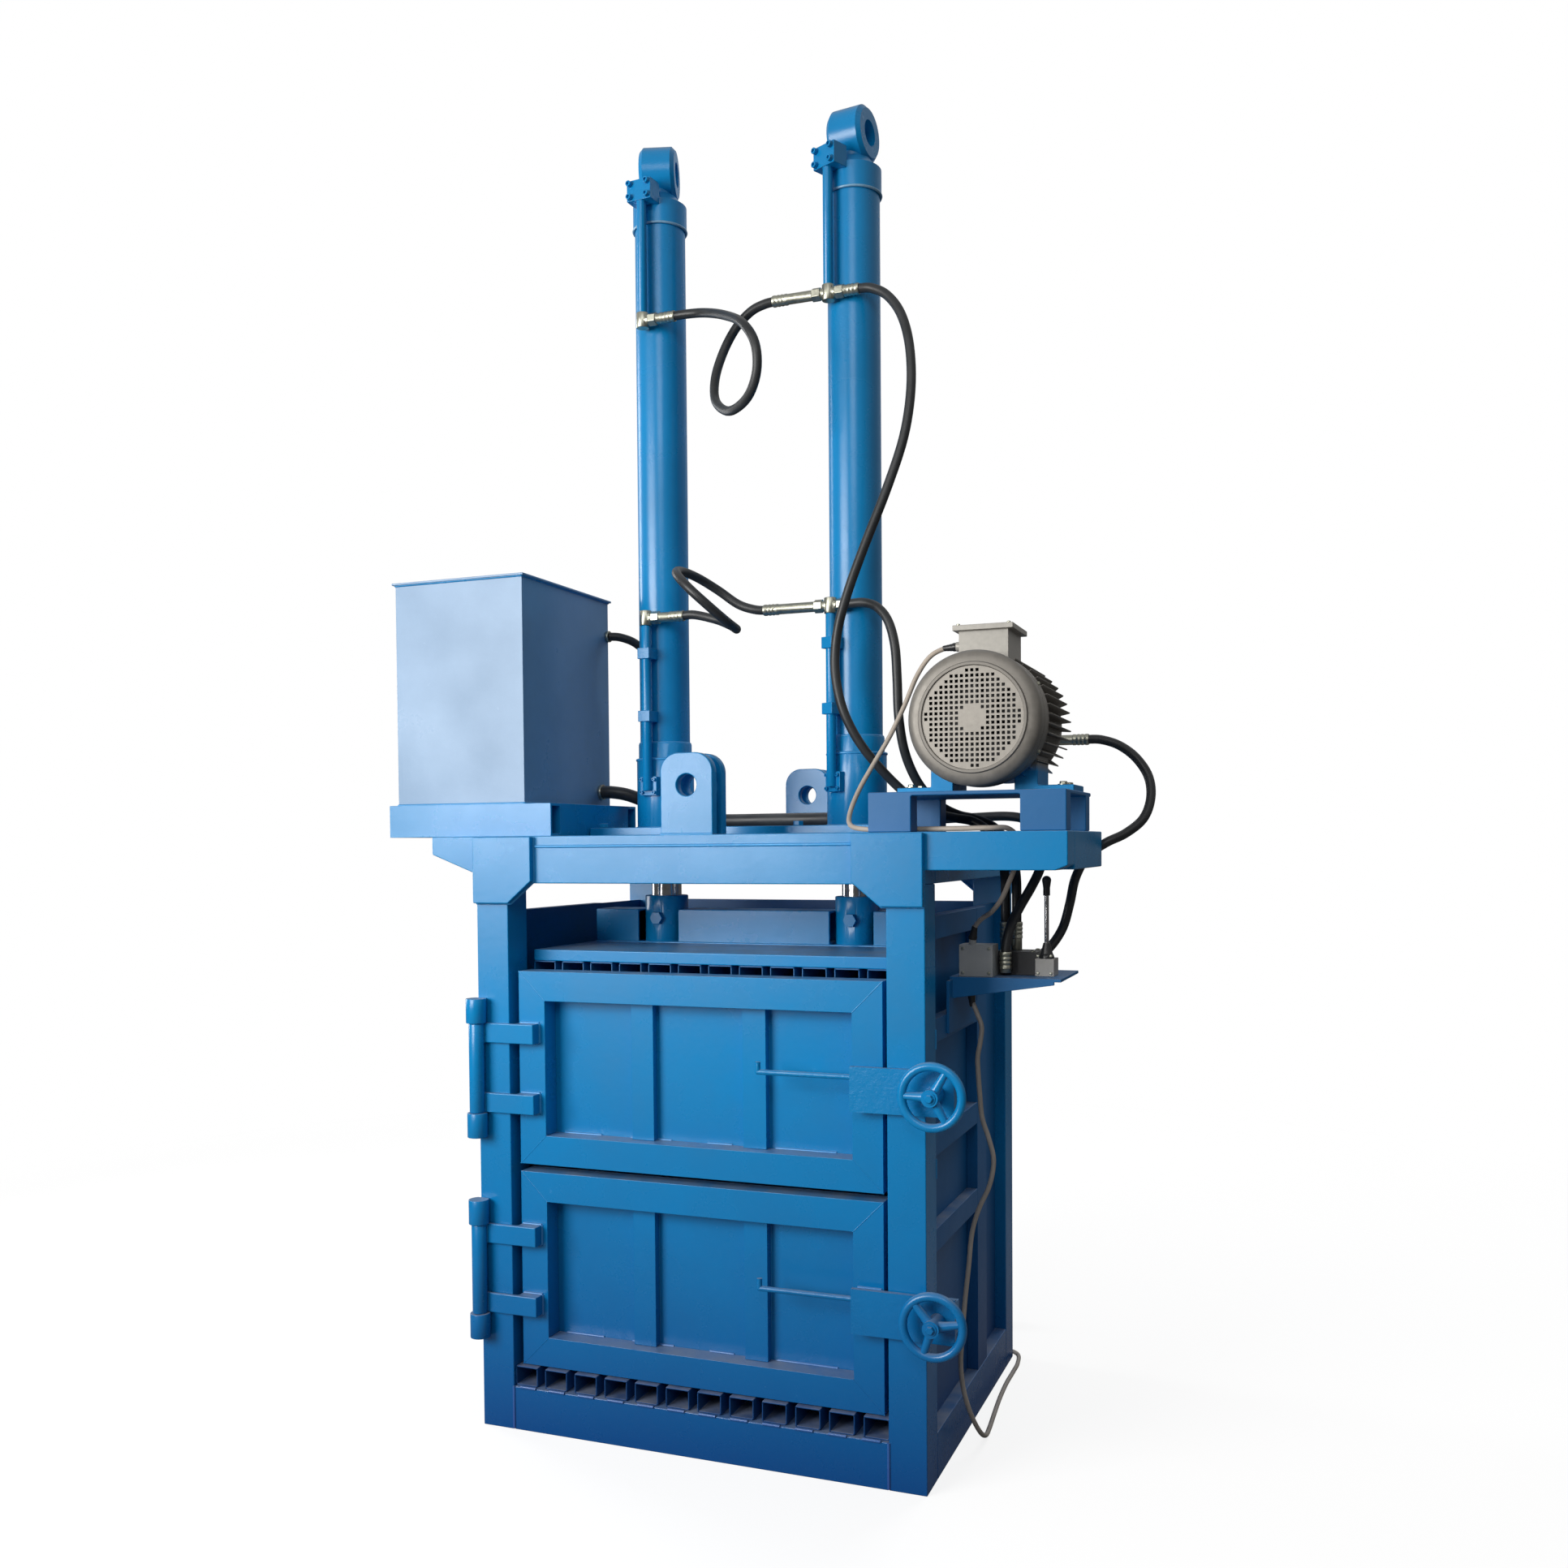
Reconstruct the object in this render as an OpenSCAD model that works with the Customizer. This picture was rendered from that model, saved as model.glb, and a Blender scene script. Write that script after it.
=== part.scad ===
// Vertical baling press: two hydraulic cylinders push a platen down into a box with two front doors.
// The power pack stands on top: oil tank on the left, electric motor and pump on the right.

/* [Frame] */
// Width over the columns
frame_w = 1290; // [1250:5:1400]
// Depth over the columns
frame_d = 1025; // [1000:5:1200]
// Outside size of the square columns and depth of the beams
col_w = 100; // [90:1:110]
// Wall of the columns and beams
tube_wall = 8; // [5:1:12]
// Height of the base sills
sill_h = 122; // [110:1:140]
// Height of the beams' underside above the floor
beam_z = 1527; // [1515:1:1600]
// Height of the top beams
beam_h = 130; // [120:1:150]
// Width of the girders that carry the cylinder deck
girder_w = 60; // [40:5:80]
// Reach of the tank tray past the left columns
tray_reach = 350; // [320:5:400]
// Reach of the motor arm past the right columns
arm_reach = 350; // [330:5:400]
// Height of the motor arms
arm_h = 95; // [80:1:110]
// Length of the short left arm
left_arm = 145; // [100:5:200]
// Width and height of the corner gussets
gusset_w = 185; // [150:5:220]
// Thickness of the corner gussets
gusset_t = 20; // [12:1:25]

/* [Walls and floor] */
// Distance from the columns' outside to the inside of the wall sheets
wall_inset = 40; // [30:1:50]
// Thickness of the wall sheets
wall_t = 6; // [4:1:10]
// Open gap between the wall sheets and the top beams
vent_h = 82; // [60:1:100]
// Height of the wall rails
rail_h = 60; // [40:1:80]
// Heights of the rails' middles
low_rail_z = 615; // [560:1:660]
mid_rail_z = 862; // [800:1:900]
high_rail_z = 1152; // [1100:1:1180]
// Distance from the front to the side walls' posts
post_y = 560; // [500:5:620]
// Width of the side walls' posts
post_w = 110; // [80:5:140]
// Number of square tubes in the floor and under the platen
tube_n = 12; // [8:1:12]
// Width of these tubes
slat_w = 70; // [60:1:72]
// Height of these tubes
slat_h = 55; // [45:1:60]
// Wall of these tubes
slat_wall = 4; // [3:1:6]

/* [Doors] */
// Height of the lower door
lower_door_h = 544; // [520:1:560]
// Height of the upper door
upper_door_h = 538; // [520:1:560]
// Gap between the doors
door_gap = 21; // [15:1:30]
// Gap between a door and a column
door_side_gap = 17; // [12:1:25]
// Distance of the doors' front behind the columns' front
door_recess = 23; // [18:1:30]
// Face width of the door frame bars
bar_w = 82; // [70:1:90]
// Depth of the door frame bars
bar_d = 60; // [50:1:65]
// Wall of the door frame bars
bar_wall = 6; // [4:1:8]
// Thickness of the door sheets
door_sheet = 8; // [5:1:10]
// Width of the door ribs
rib_w = 66; // [50:1:80]
// Depth of the door ribs
rib_d = 25; // [15:1:35]
// Distance between the middles of a door's two ribs
rib_span = 328; // [280:4:380]

/* [Hinges and locks] */
// Radius of the hinge pins
pin_r = 12; // [8:0.5:14]
// Outside radius of the turning hinge tubes
hinge_r = 21; // [18:0.5:22]
// Outside radius of the fixed knuckles
knuckle_r = 28; // [25:0.5:32]
// Length of the turning hinge tubes
hinge_len = 250; // [200:2:300]
// Height of a fixed knuckle
knuckle_h = 68; // [50:1:80]
// Height of the hinge straps
strap_h = 55; // [40:1:70]
// Thickness of the hinge straps
strap_t = 12; // [8:1:14]
// Height of the lock plates
lock_h = 114; // [90:2:130]
// Thickness of the lock plates
lock_t = 15; // [10:1:20]
// Distance from a column's side to the lock screw's axis
lock_off = 32; // [28:1:40]
// Radius of the lock screws
screw_r = 12; // [8:0.5:14]
// Outside diameter of the handwheels
wheel_d = 172; // [150:2:200]
// Radius of the handwheels' round rim
rim_r = 11; // [8:0.5:13]
// Radius of the handwheels' hub
hub_r = 21; // [18:0.5:26]
// Thickness of the round door handles
handle_d = 14; // [10:1:18]
// Length of the round door handles
handle_len = 250; // [180:5:300]

/* [Platen and cylinders] */
// Distance of the cylinders' axes from the frame's sides
cyl_in = 340; // [325:5:365]
// Outside radius of the barrels
barrel_r = 75; // [70:1:80]
// Bore radius of the barrels
bore_r = 60; // [55:1:63]
// Radius of the piston rods
rod_r = 45; // [40:1:48]
// Radius of the glands at the barrels' lower ends
gland_r = 86; // [82:1:92]
// Height of the glands' wide part
gland_h = 205; // [180:1:230]
// Height of the ring above it
gland_ring_h = 49; // [30:1:60]
// Height of the eyes' top above the floor
eye_top = 3710; // [3600:5:3800]
// Outside radius of the eyes
eye_r = 76; // [60:1:80]
// Bore radius of the eyes
eye_bore_r = 35; // [25:1:40]
// Width of the eyes
eye_w = 105; // [70:1:110]
// Turn of the left and the right eye about the cylinder's axis
left_eye_turn = 17; // [-45:1:45]
right_eye_turn = -7; // [-45:1:45]
// Distance from the beams' underside down to the platen's top
platen_drop = 190; // [180:1:230]
// Thickness of the platen
platen_t = 32; // [20:1:40]
// Gap between the platen and the columns
platen_gap = 15; // [10:1:25]
// Height of the platen's stiffening beam
stiff_h = 100; // [80:1:120]
// Depth of the platen's stiffening beam
stiff_d = 124; // [100:2:130]
// Outside radius of the rod sockets
socket_r = 65; // [60:1:72]
// Height of the rod sockets
socket_h = 141; // [120:1:160]
// Radius of the cross bolts in the sockets
cross_r = 12; // [8:0.5:14]
// Thickness of the cylinder deck
deck_t = 24; // [15:1:30]
// Depth of the cylinder deck
deck_d = 425; // [400:5:500]
// Radius of the pipes along the barrels
pipe_r = 14; // [10:0.5:16]

/* [Power pack] */
// Width of the oil tank
tank_w = 425; // [380:5:440]
// Depth of the oil tank
tank_d = 508; // [450:2:520]
// Height of the oil tank
tank_h = 640; // [560:5:700]
// Wall of the oil tank
tank_wall = 4; // [3:0.5:6]
// Height of the tank tray
tray_h = 93; // [80:1:110]
// Length of the tank tray inside the left columns' outside
tray_over = 190; // [170:5:200]
// Depth of the tank tray
tray_d = 520; // [510:5:540]
// Distance from the right columns' outside to the motor's axis
motor_x = 96; // [90:1:110]
// Height of the motor's base above the beams
base_h = 100; // [90:1:120]
// Height of the motor's axis above its base
shaft_h = 185; // [182:1:200]
// Radius over the motor's fins
motor_r = 178; // [176:1:181]
// Radius of the fan cover
cowl_r = 171; // [160:1:175]
// Radius of the fan cover's flat grille
grille_r = 133; // [120:1:140]
// Radius of the motor's shaft
shaft_r = 24; // [18:1:28]
// Radius of the bell housing
bell_r = 100; // [90:1:110]

/* [Valve and shelf] */
// Reach of the valve shelf past the columns
shelf_w = 290; // [270:5:320]
// Height of the shelf's top above the floor
shelf_z = 1278; // [1250:1:1300]
// Length of the valve lever
lever_len = 165; // [140:1:200]
// Radius of the valve lever
lever_r = 6; // [4:0.5:8]

/* [Hidden] */
$fn = 48;

// Clearances and small allowances
cut = 1;                // overshoot of cutting shapes
weld_gap = 0.4;         // root gap between pieces that are welded together
run_gap = 0.05;         // radial clearance of a shaft in its bore
slip = 0.5;             // end play of a piece that turns between two faces
nut_gap = 2.5;          // radial clearance of the lock screw in its nut
knock = 2;              // clearance of the hinge tubes and wall ribs to the faces beside them

// Colours
blue = [0.02, 0.42, 0.72];
navy = [0.05, 0.25, 0.48];
steel = [0.62, 0.63, 0.62];
grey = [0.50, 0.49, 0.46];
black = [0.05, 0.05, 0.06];
beige = [0.55, 0.50, 0.45];

// Frame corners: the origin lies under the middle of the whole machine
screw_head = 85;        // reach of the handwheels in front of the columns
left = -frame_w / 2 + (tray_reach - arm_reach) / 2;
right = left + frame_w;
front = -(frame_d + screw_head + gusset_t) / 2 + screw_head;
back = front + frame_d;
mid_x = (left + right) / 2;
mid_y = (front + back) / 2;
in_left = left + col_w;
in_right = right - col_w;
beam_top = beam_z + beam_h;
wall_top = beam_z - vent_h;
deck_top = beam_top + deck_t;
floor_top = sill_h + slat_h;
slat_in = 10;           // setback of the floor tubes from the front and back
bearer_h = 60;          // height of the floor bearers
bearer_n = 2;           // number of floor bearers

// Doors
door_floor_gap = 3;
door_l = in_left + door_side_gap;
door_r = in_right - door_side_gap;
door_f = front + door_recess;
door_b = door_f + bar_d;
lower_z = floor_top + door_floor_gap;
upper_z = lower_z + lower_door_h + door_gap;
pivot_x = left + 8;
pivot_y = front - hinge_r - knock;
strap_end = 65;         // length of a strap on its door
lock_end = 75;          // length of a lock plate on its door
lock_x = right + lock_off;
lock_edge = 45;         // lock plate past the screw's axis
lock_f = front - 5 - lock_t;
nut_y = front + 10;
nut_d = 40;
nut_w = lock_off + 38;
nut_h = 80;
screw_nose = 30;        // length of the screw inside its nut

// Cylinders and platen
cyl_x = [left + cyl_in, right - cyl_in];
eye_turn = [left_eye_turn, right_eye_turn];
platen_top = beam_z - platen_drop;
platen_l = in_left + platen_gap;
platen_r = in_right - platen_gap;
platen_f = door_b + door_sheet + 19;
platen_b = back - wall_inset - 20;
gland_top = deck_top + gland_h + gland_ring_h;
head_z = eye_top - eye_r - 99;      // underside of the heads' cone
head_h = 70;
head_r = barrel_r + 5;
neck_r = eye_w / 2 - 3;
eye_z = eye_top - eye_r;
eye_edge = 11;          // chamfer on the eyes' edges
piston_h = 80;
piston_top = head_z - head_h - 30;
pipe_turn = [-5, -25];  // place of the pipes round the barrels, from the front towards the right
pipe_off = barrel_r + pipe_r + 16;
pipe_x = [for (i = [0:1]) cyl_x[i] + pipe_off * sin(pipe_turn[i])];
pipe_y = [for (i = [0:1]) mid_y - pipe_off * cos(pipe_turn[i])];
upper_port_z = 3170;
lower_port_z = 2300;
pipe_top = head_z + 24;
gland_port_z = deck_top + 110;
tee_h = 22;             // half height of the tee fittings on the pipes' ends
block_w = 80;           // width and height of the flange blocks on the heads' necks
block_h = 60;
bolt_r = 10;
bolt_head_r = 15;
bolt_head_h = 13;
bolt_in = 20;           // distance of the deck bolts from the deck's edge
deck_gap = 5;           // gap between the cylinder deck and the tank tray
deck_w = frame_w - 2 * (tray_over + deck_gap);
girder_x = [for (x = cyl_x, s = [-1, 1]) x + s * (gland_r + girder_w / 2 - 6)];

// Tank
tray_l = left - tray_reach;
tray_w = tray_reach + tray_over;
tray_f = front + 85;
tank_l = tray_l + 28;
tank_f = tray_f + 6;
tank_z = beam_top + tray_h;
tank_top = tank_z + tank_h;
lid_t = 6;
lid_over = 8;

// Motor and pump: y stations along the shaft
axis_x = right + motor_x;
axis_z = beam_top + base_h + shaft_h;
arm_end = right + arm_reach;
end_w = 60;
deck_len = 540;
rear_arm_y = front + 300;
rear_arm_w = 80;
plate_t = 10;
base_f = front + 20;
base_b = front + 390;
leg_w = 112;
leg_d = 60;
base_half = 248;
cowl_f = front + 100;
cowl_len = 105;
motor_f = cowl_f + cowl_len;
motor_len = 320;
motor_b = motor_f + motor_len;
bell_len = 150;
pump_f = motor_b + bell_len;
pump_len = 150;
pump_w = 130;
core_r = motor_r - 28;
shield_t = 20;

// Valve shelf
shelf_t = 8;
shelf_f = front + 250;
shelf_d = 270;
shelf_b = shelf_f + shelf_d;
shelf_skirt = 36;       // wall plate past the shelf's front
cable_gland_r = 12;     // radius of the cable glands
gland_in = 45;          // place of the shelf's cable gland from its corner
gland_drop = 46;        // length of that gland under the shelf
valve_x = right + 100;
valve_w = 110;
valve_f = front + 340;
valve_d = 90;
valve_h = 62;
housing_w = 50;
housing_h = 46;
lever_x = valve_x + valve_w + housing_w / 2;
lever_y = valve_f + 10;
lever_z = shelf_z + housing_h;
boot_r = 20;
boot_h = 40;
knob_r = 12;
port_x = [valve_x + 15, valve_x + 45];
port_y = valve_f + 60;
port_top = shelf_z + 132;
box_x = right + 20;
box_f = front + 262;
box_w = 90;
box_d = 70;
box_h = 84;

// Hoses and cables: diameters and routes
hose_d = 26;
suction_d = 40;
cable_d = 13;
ferrule_r = 14.5;

upper_link_route = [
    [-215, -72, 3170], [-175, -72, 3170], [-108, -88, 3159], [-16, -160, 3115], [82, -264, 3045],
    [128, -287, 2978], [130, -280, 2904], [90, -250, 2847], [17, -203, 2832], [-50, -144, 2883],
    [-67, -108, 2961], [-52, -79, 3046], [-17, -66, 3113], [29, -67, 3151], [70, -65, 3166],
    [100, -62, 3170]];
upper_feed_route = [
    [345, -62, 3170], [385, -62, 3166], [435, -72, 3135], [480, -90, 3070], [508, -108, 2975],
    [515, -122, 2855], [497, -133, 2725], [450, -143, 2585], [395, -152, 2450], [347, -158, 2325],
    [316, -160, 2220], [306, -160, 2120], [318, -158, 2030], [342, -152, 1960], [377, -138, 1895],
    [420, -112, 1835], [462, -82, 1785], [508, -60, 1742], [560, -48, 1712], [612, -45, 1698],
    [662, -48, 1688], [710, -58, 1658], [744, -70, 1606], [758, -78, 1540], [760, -80, 1470],
    [760, -80, 1410]];
lower_link_route = [
    [-195, -72, 2300], [-155, -72, 2300], [-85, -71, 2281], [-25, -102, 2255], [24, -185, 2232],
    [28, -259, 2241], [-4, -313, 2279], [-57, -327, 2330], [-108, -291, 2376], [-135, -209, 2401],
    [-119, -132, 2395], [-76, -82, 2364], [-21, -65, 2323], [30, -65, 2304], [65, -62, 2300]];
lower_feed_route = [
    [290, -62, 2300], [325, -63, 2302], [365, -70, 2300], [405, -82, 2282], [440, -96, 2240],
    [462, -108, 2170], [470, -115, 2080], [474, -116, 1980], [484, -102, 1890], [503, -75, 1820],
    [530, -45, 1768], [568, -18, 1730], [615, -5, 1706], [665, -4, 1694], [720, -14, 1667],
    [765, -38, 1612], [785, -64, 1545], [790, -78, 1475], [790, -80, 1410]];
pump_route = [
    [930, 220, 1920], [970, 220, 1918], [1021, 216, 1900], [1070, 199, 1862], [1105, 185, 1808],
    [1113, 166, 1748], [1096, 141, 1692], [1052, 115, 1652], [1001, 95, 1626], [951, 98, 1590],
    [915, 114, 1529], [893, 152, 1457], [873, 152, 1387], [842, 118, 1333], [811, 70, 1309],
    [795, 28, 1303], [790, 0, 1303]];
return_route = [
    [778, -165, 1335], [781, -158, 1375], [791, -138, 1420], [809, -108, 1465], [832, -90, 1510],
    [852, -78, 1556], [860, -62, 1604], [852, -36, 1650], [824, -3, 1682], [778, 36, 1697],
    [720, 78, 1703], [642, 120, 1702], [560, 160, 1700], [480, 179, 1697], [380, 183, 1696],
    [200, 183, 1696], [0, 183, 1696], [-200, 183, 1696], [-330, 184, 1698], [-398, 201, 1725],
    [-437, 219, 1786], [-444, 218, 1872], [-440, 219, 1982], [-435, 220, 2094], [-423, 197, 2175],
    [-436, 176, 2232], [-466, 151, 2266], [-504, 128, 2282], [-535, 112, 2284]];
suction_route = [
    [-535, 60, 1795], [-500, 62, 1794], [-455, 78, 1785], [-400, 112, 1760], [-335, 140, 1728],
    [-260, 147, 1708], [-160, 147, 1703], [0, 147, 1703], [160, 147, 1703], [300, 147, 1703],
    [390, 152, 1712], [460, 170, 1742], [525, 199, 1795], [578, 231, 1862], [618, 257, 1909],
    [640, 270, 1931], [662, 275, 1940]];
motor_cable_route = [
    [650, -170, 2148], [620, -171, 2146], [580, -176, 2126], [545, -182, 2076], [512, -186, 2000],
    [474, -194, 1920], [434, -212, 1846], [404, -248, 1776], [396, -306, 1712], [414, -358, 1677],
    [462, -386, 1666], [530, -390, 1665], [620, -390, 1665], [710, -397, 1665], [787, -397, 1666],
    [829, -365, 1664], [845, -323, 1634], [836, -300, 1582], [815, -290, 1530], [789, -262, 1485],
    [756, -230, 1450], [722, -208, 1428], [702, -195, 1405], [695, -188, 1376]];
supply_route = [
    [690, -185, 1232], [692, -185, 1212], [706, -190, 1180], [720, -196, 1145], [718, -203, 1105],
    [712, -208, 1065], [714, -210, 1020], [718, -210, 965], [724, -210, 905], [742, -210, 850],
    [754, -210, 795], [744, -214, 730], [716, -219, 665], [698, -221, 600], [690, -225, 515],
    [681, -230, 425], [675, -235, 340], [670, -236, 255], [676, -228, 180], [690, -206, 110],
    [704, -165, 50], [706, -105, 16], [700, -30, 7], [692, 60, 7], [682, 180, 7], [676, 300, 7],
    [676, 400, 7], [674, 480, 7], [656, 556, 7], [596, 590, 7], [520, 596, 7], [445, 596, 7]];
coil_at = [430, 690];   // middle of the coiled rest of the supply cable, behind the machine
coil_r = 75;            // radius at the middle of the coil's turns
plug_r = 32;            // radius of the plug's body
plug_len = 130;         // length of the plug with its sleeve
plug_turn = 20;         // angle at which the cable leaves the coil for the plug
plug_run = 50;          // run of the cable from the coil to the plug

// Shared shapes

module box(lo, hi) translate(lo) cube(hi - lo);

// Box tube with open ends along one axis: 0, 1 or 2
module box_tube(lo, hi, along, wall) {
    inset = [for (i = [0:2]) i == along ? -cut : wall];
    difference() {
        box(lo, hi);
        box(lo + inset, hi - inset);
    }
}

// Turns a shape that stands along z so that it lies along y or x
module along_y() rotate([-90, 0, 0]) children();
module along_x() rotate([0, 90, 0]) children();

// A cross-section drawn in x and z, from y0 to y1
module slab_y(y0, y1) translate([0, y1, 0]) rotate([90, 0, 0]) linear_extrude(y1 - y0) children();

// Plate with two round top corners, standing on z = 0 and centred on x = 0
module arch(w, h, r) {
    translate([-w / 2, 0]) square([w, h - r]);
    translate([-w / 2 + r, 0]) square([w - 2 * r, h]);
    for (s = [-1, 1]) translate([s * (w / 2 - r), h - r]) circle(r);
}

// Tube swept along a route: a smooth curve through the points, with rings of equal size
function unit(v) = v / norm(v);
function at(p, i) = p[min(max(i, 0), len(p) - 1)];
function slope(p, i) = (at(p, i + 1) - at(p, i - 1)) / 2;
function curve(p, i, t) =
    (2 * t ^ 3 - 3 * t ^ 2 + 1) * p[i] + (t ^ 3 - 2 * t ^ 2 + t) * slope(p, i)
    + (3 * t ^ 2 - 2 * t ^ 3) * p[i + 1] + (t ^ 3 - t ^ 2) * slope(p, i + 1);
function smooth(p, n) = concat([for (i = [0:len(p) - 2], k = [0:n - 1]) curve(p, i, k / n)], [p[len(p) - 1]]);
function heading(p, i) = unit(at(p, i + 1) - at(p, i - 1));
function square_to(n, t) = unit(n - (n * t) * t);
function normals(p, i, n) = i == len(p) ? [] :
    let (m = square_to(n, heading(p, i))) concat([m], normals(p, i + 1, m));
module sweep(route, d, sides = 10, steps = 2) {
    p = smooth(route, steps);
    first = heading(p, 0);
    up = abs(first[2]) > 0.9 ? [1, 0, 0] : [0, 0, 1];
    n = normals(p, 0, square_to(up, first));
    rings = [for (i = [0:len(p) - 1]) let (b = cross(heading(p, i), n[i]))
        for (j = [0:sides - 1]) p[i] + d / 2 * (cos(360 * j / sides) * n[i] + sin(360 * j / sides) * b)];
    last = (len(p) - 1) * sides;
    skin = [for (i = [0:len(p) - 2], j = [0:sides - 1]) let (a = i * sides, k = (j + 1) % sides)
        each [[a + j, a + sides + j, a + k], [a + k, a + sides + j, a + sides + k]]];
    ends = [[for (j = [0:sides - 1]) j], [for (j = [sides - 1:-1:0]) last + j]];
    polyhedron(concat(rings), concat(skin, ends));
}

// Frame

module base_frame() color(blue) {
    for (y = [front, back - col_w])
        box_tube([in_left, y, 0], [in_right, y + col_w, sill_h], 0, tube_wall);
    for (x = [left, in_right])
        box_tube([x, front + col_w + weld_gap, 0],
            [x + col_w, back - col_w - weld_gap, sill_h], 1, tube_wall);
    for (i = [1:bearer_n]) {
        y = front + frame_d * i / (bearer_n + 1) - bearer_h / 2;
        box_tube([in_left + weld_gap, y, sill_h - bearer_h],
            [in_right - weld_gap, y + bearer_h, sill_h], 0, tube_wall);
    }
}

// Row of open square tubes from the front to the back
module slats(x0, x1, y0, y1, z) for (i = [0:tube_n - 1]) {
    x = x0 + (x1 - x0 - slat_w) * i / (tube_n - 1);
    box_tube([x, y0, z], [x + slat_w, y1, z + slat_h], 1, slat_wall);
}

module floor_tubes() color(navy) slats(in_left, in_right, front + slat_in, back - slat_in, sill_h);

module columns() color(blue) for (x = [left, in_right], y = [front, back - col_w])
    box_tube([x, y, 0], [x + col_w, y + col_w, beam_z], 2, tube_wall);

module chamber_walls() color(navy) {
    for (x = [left + wall_inset - wall_t, right - wall_inset])
        box([x, front + col_w, sill_h], [x + wall_t, back - col_w, wall_top]);
    box([in_left, back - wall_inset, floor_top], [in_right, back - wall_inset + wall_t, wall_top]);
}

module wall_ribs() color(navy) {
    depth = wall_inset - wall_t - knock;
    for (x = [left + knock, right - knock - depth]) {
        for (z = [low_rail_z, mid_rail_z, high_rail_z, wall_top - rail_h / 2])
            box([x, front + col_w, z - rail_h / 2], [x + depth, front + post_y - weld_gap, z + rail_h / 2]);
        box([x, front + post_y, sill_h], [x + depth, front + post_y + post_w, wall_top]);
    }
    for (z = [low_rail_z, mid_rail_z, high_rail_z, wall_top - rail_h / 2])
        box([in_left, back - knock - depth, z - rail_h / 2], [in_right, back - knock, z + rail_h / 2]);
}

// Outline of the front beam with its two arms
module front_beam_face() polygon([
    [left - left_arm, beam_top], [left - left_arm, beam_top - 50], [left, beam_top - 105], [left, beam_z],
    [right, beam_z], [right, beam_top - arm_h], [arm_end - 30, beam_top - arm_h],
    [arm_end, beam_top - arm_h + 12], [arm_end, beam_top]]);

module cross_beams() color(blue) {
    difference() {
        slab_y(front, front + col_w) front_beam_face();
        box([left + col_w, front + tube_wall, beam_z + tube_wall],
            [in_right, front + col_w + cut, beam_top - tube_wall]);
        box([right + tube_wall, front + tube_wall, beam_top - arm_h + tube_wall],
            [arm_end - end_w, front + col_w + cut, beam_top - tube_wall]);
    }
    box_tube([left, back - col_w, beam_z], [right, back, beam_top], 0, tube_wall);
}

module top_girders() color(blue) {
    for (x = [left, in_right])
        box_tube([x, front + col_w, beam_z], [x + col_w, back - col_w, beam_top], 1, tube_wall);
    for (x = girder_x)
        box_tube([x - girder_w / 2, front + col_w, beam_z],
            [x + girder_w / 2, back - col_w, beam_top], 1, tube_wall);
    motor_arms();
}

// Rear arm and end member that carry the motor's base beside the front beam's right arm
module motor_arms() {
    z0 = beam_top - arm_h;
    box_tube([right, rear_arm_y, z0],
        [arm_end - end_w - weld_gap, rear_arm_y + rear_arm_w, beam_top], 0, tube_wall);
    difference() {
        box([arm_end - end_w, front + col_w, z0], [arm_end, front + deck_len, beam_top]);
        box([arm_end - end_w - cut, front + col_w + tube_wall, z0 + tube_wall],
            [arm_end - tube_wall, front + deck_len - end_w, beam_top - tube_wall]);
        translate([arm_end - end_w - cut, front + deck_len, z0]) rotate([atan(23 / 236), 0, 0])
            translate([0, -300, -60]) cube([end_w + 2 * cut, 320, 60]);
    }
}

module each_deck_bolt() for (x = girder_x, s = [-1, 1])
    translate([x, mid_y + s * (deck_d / 2 - bolt_in), 0]) children();

module deck_plate() color(blue) difference() {
    box([mid_x - deck_w / 2, mid_y - deck_d / 2, beam_top],
        [mid_x + deck_w / 2, mid_y + deck_d / 2, deck_top]);
    for (x = cyl_x) translate([x, mid_y, beam_top - cut]) cylinder(r = rod_r + knock, h = deck_t + 2 * cut);
    each_deck_bolt() translate([0, 0, beam_top - cut]) cylinder(r = bolt_r + run_gap, h = deck_t + 2 * cut);
}

module deck_bolts() color(blue) each_deck_bolt() {
    translate([0, 0, beam_top]) cylinder(r = bolt_r, h = deck_t);
    translate([0, 0, deck_top]) cylinder(r = bolt_head_r, h = bolt_head_h, $fn = 6);
}

module gusset_face() polygon([
    [0, 0], [gusset_w * 0.6, 0], [gusset_w, gusset_w * 0.33], [gusset_w, gusset_w - knock],
    [0, gusset_w - knock]]);

module corner_gussets() color(blue) for (y = [front - gusset_t, back], s = [1, -1])
    slab_y(y, y + gusset_t) translate([s > 0 ? left : right, beam_top - gusset_w]) scale_x(s) gusset_face();

// Mirrors a flat shape in x
module scale_x(s) mirror([s < 0 ? 1 : 0, 0]) children();

lug_w = 150;
lug_h = 215;
lug_r = 52;
lug_hole_r = 29;
lug_t = 30;
lug_in = 4;             // setback of the outer lug plates from the beams' faces
module lifting_lugs() color(blue) for (y = [front, back - col_w], k = [lug_in, col_w - lug_in - lug_t])
    difference() {
        slab_y(y + k, y + k + lug_t) translate([mid_x, beam_top]) arch(lug_w, lug_h, lug_r);
        translate([mid_x, y + k - cut, beam_top + 130]) along_y()
            cylinder(r = lug_hole_r, h = lug_t + 2 * cut);
    }

// Power pack

module tank_tray() color(navy) {
    t = tube_wall;
    w = 60;
    x1 = tray_l + tray_w;
    y1 = tray_f + tray_d;
    for (y = [tray_f, y1 - w]) box_tube([tray_l, y, beam_top], [x1, y + w, tank_z], 0, t);
    for (x = [tray_l, x1 - w])
        box_tube([x, tray_f + w + weld_gap, beam_top], [x + w, y1 - w - weld_gap, tank_z], 1, t);
}

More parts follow.
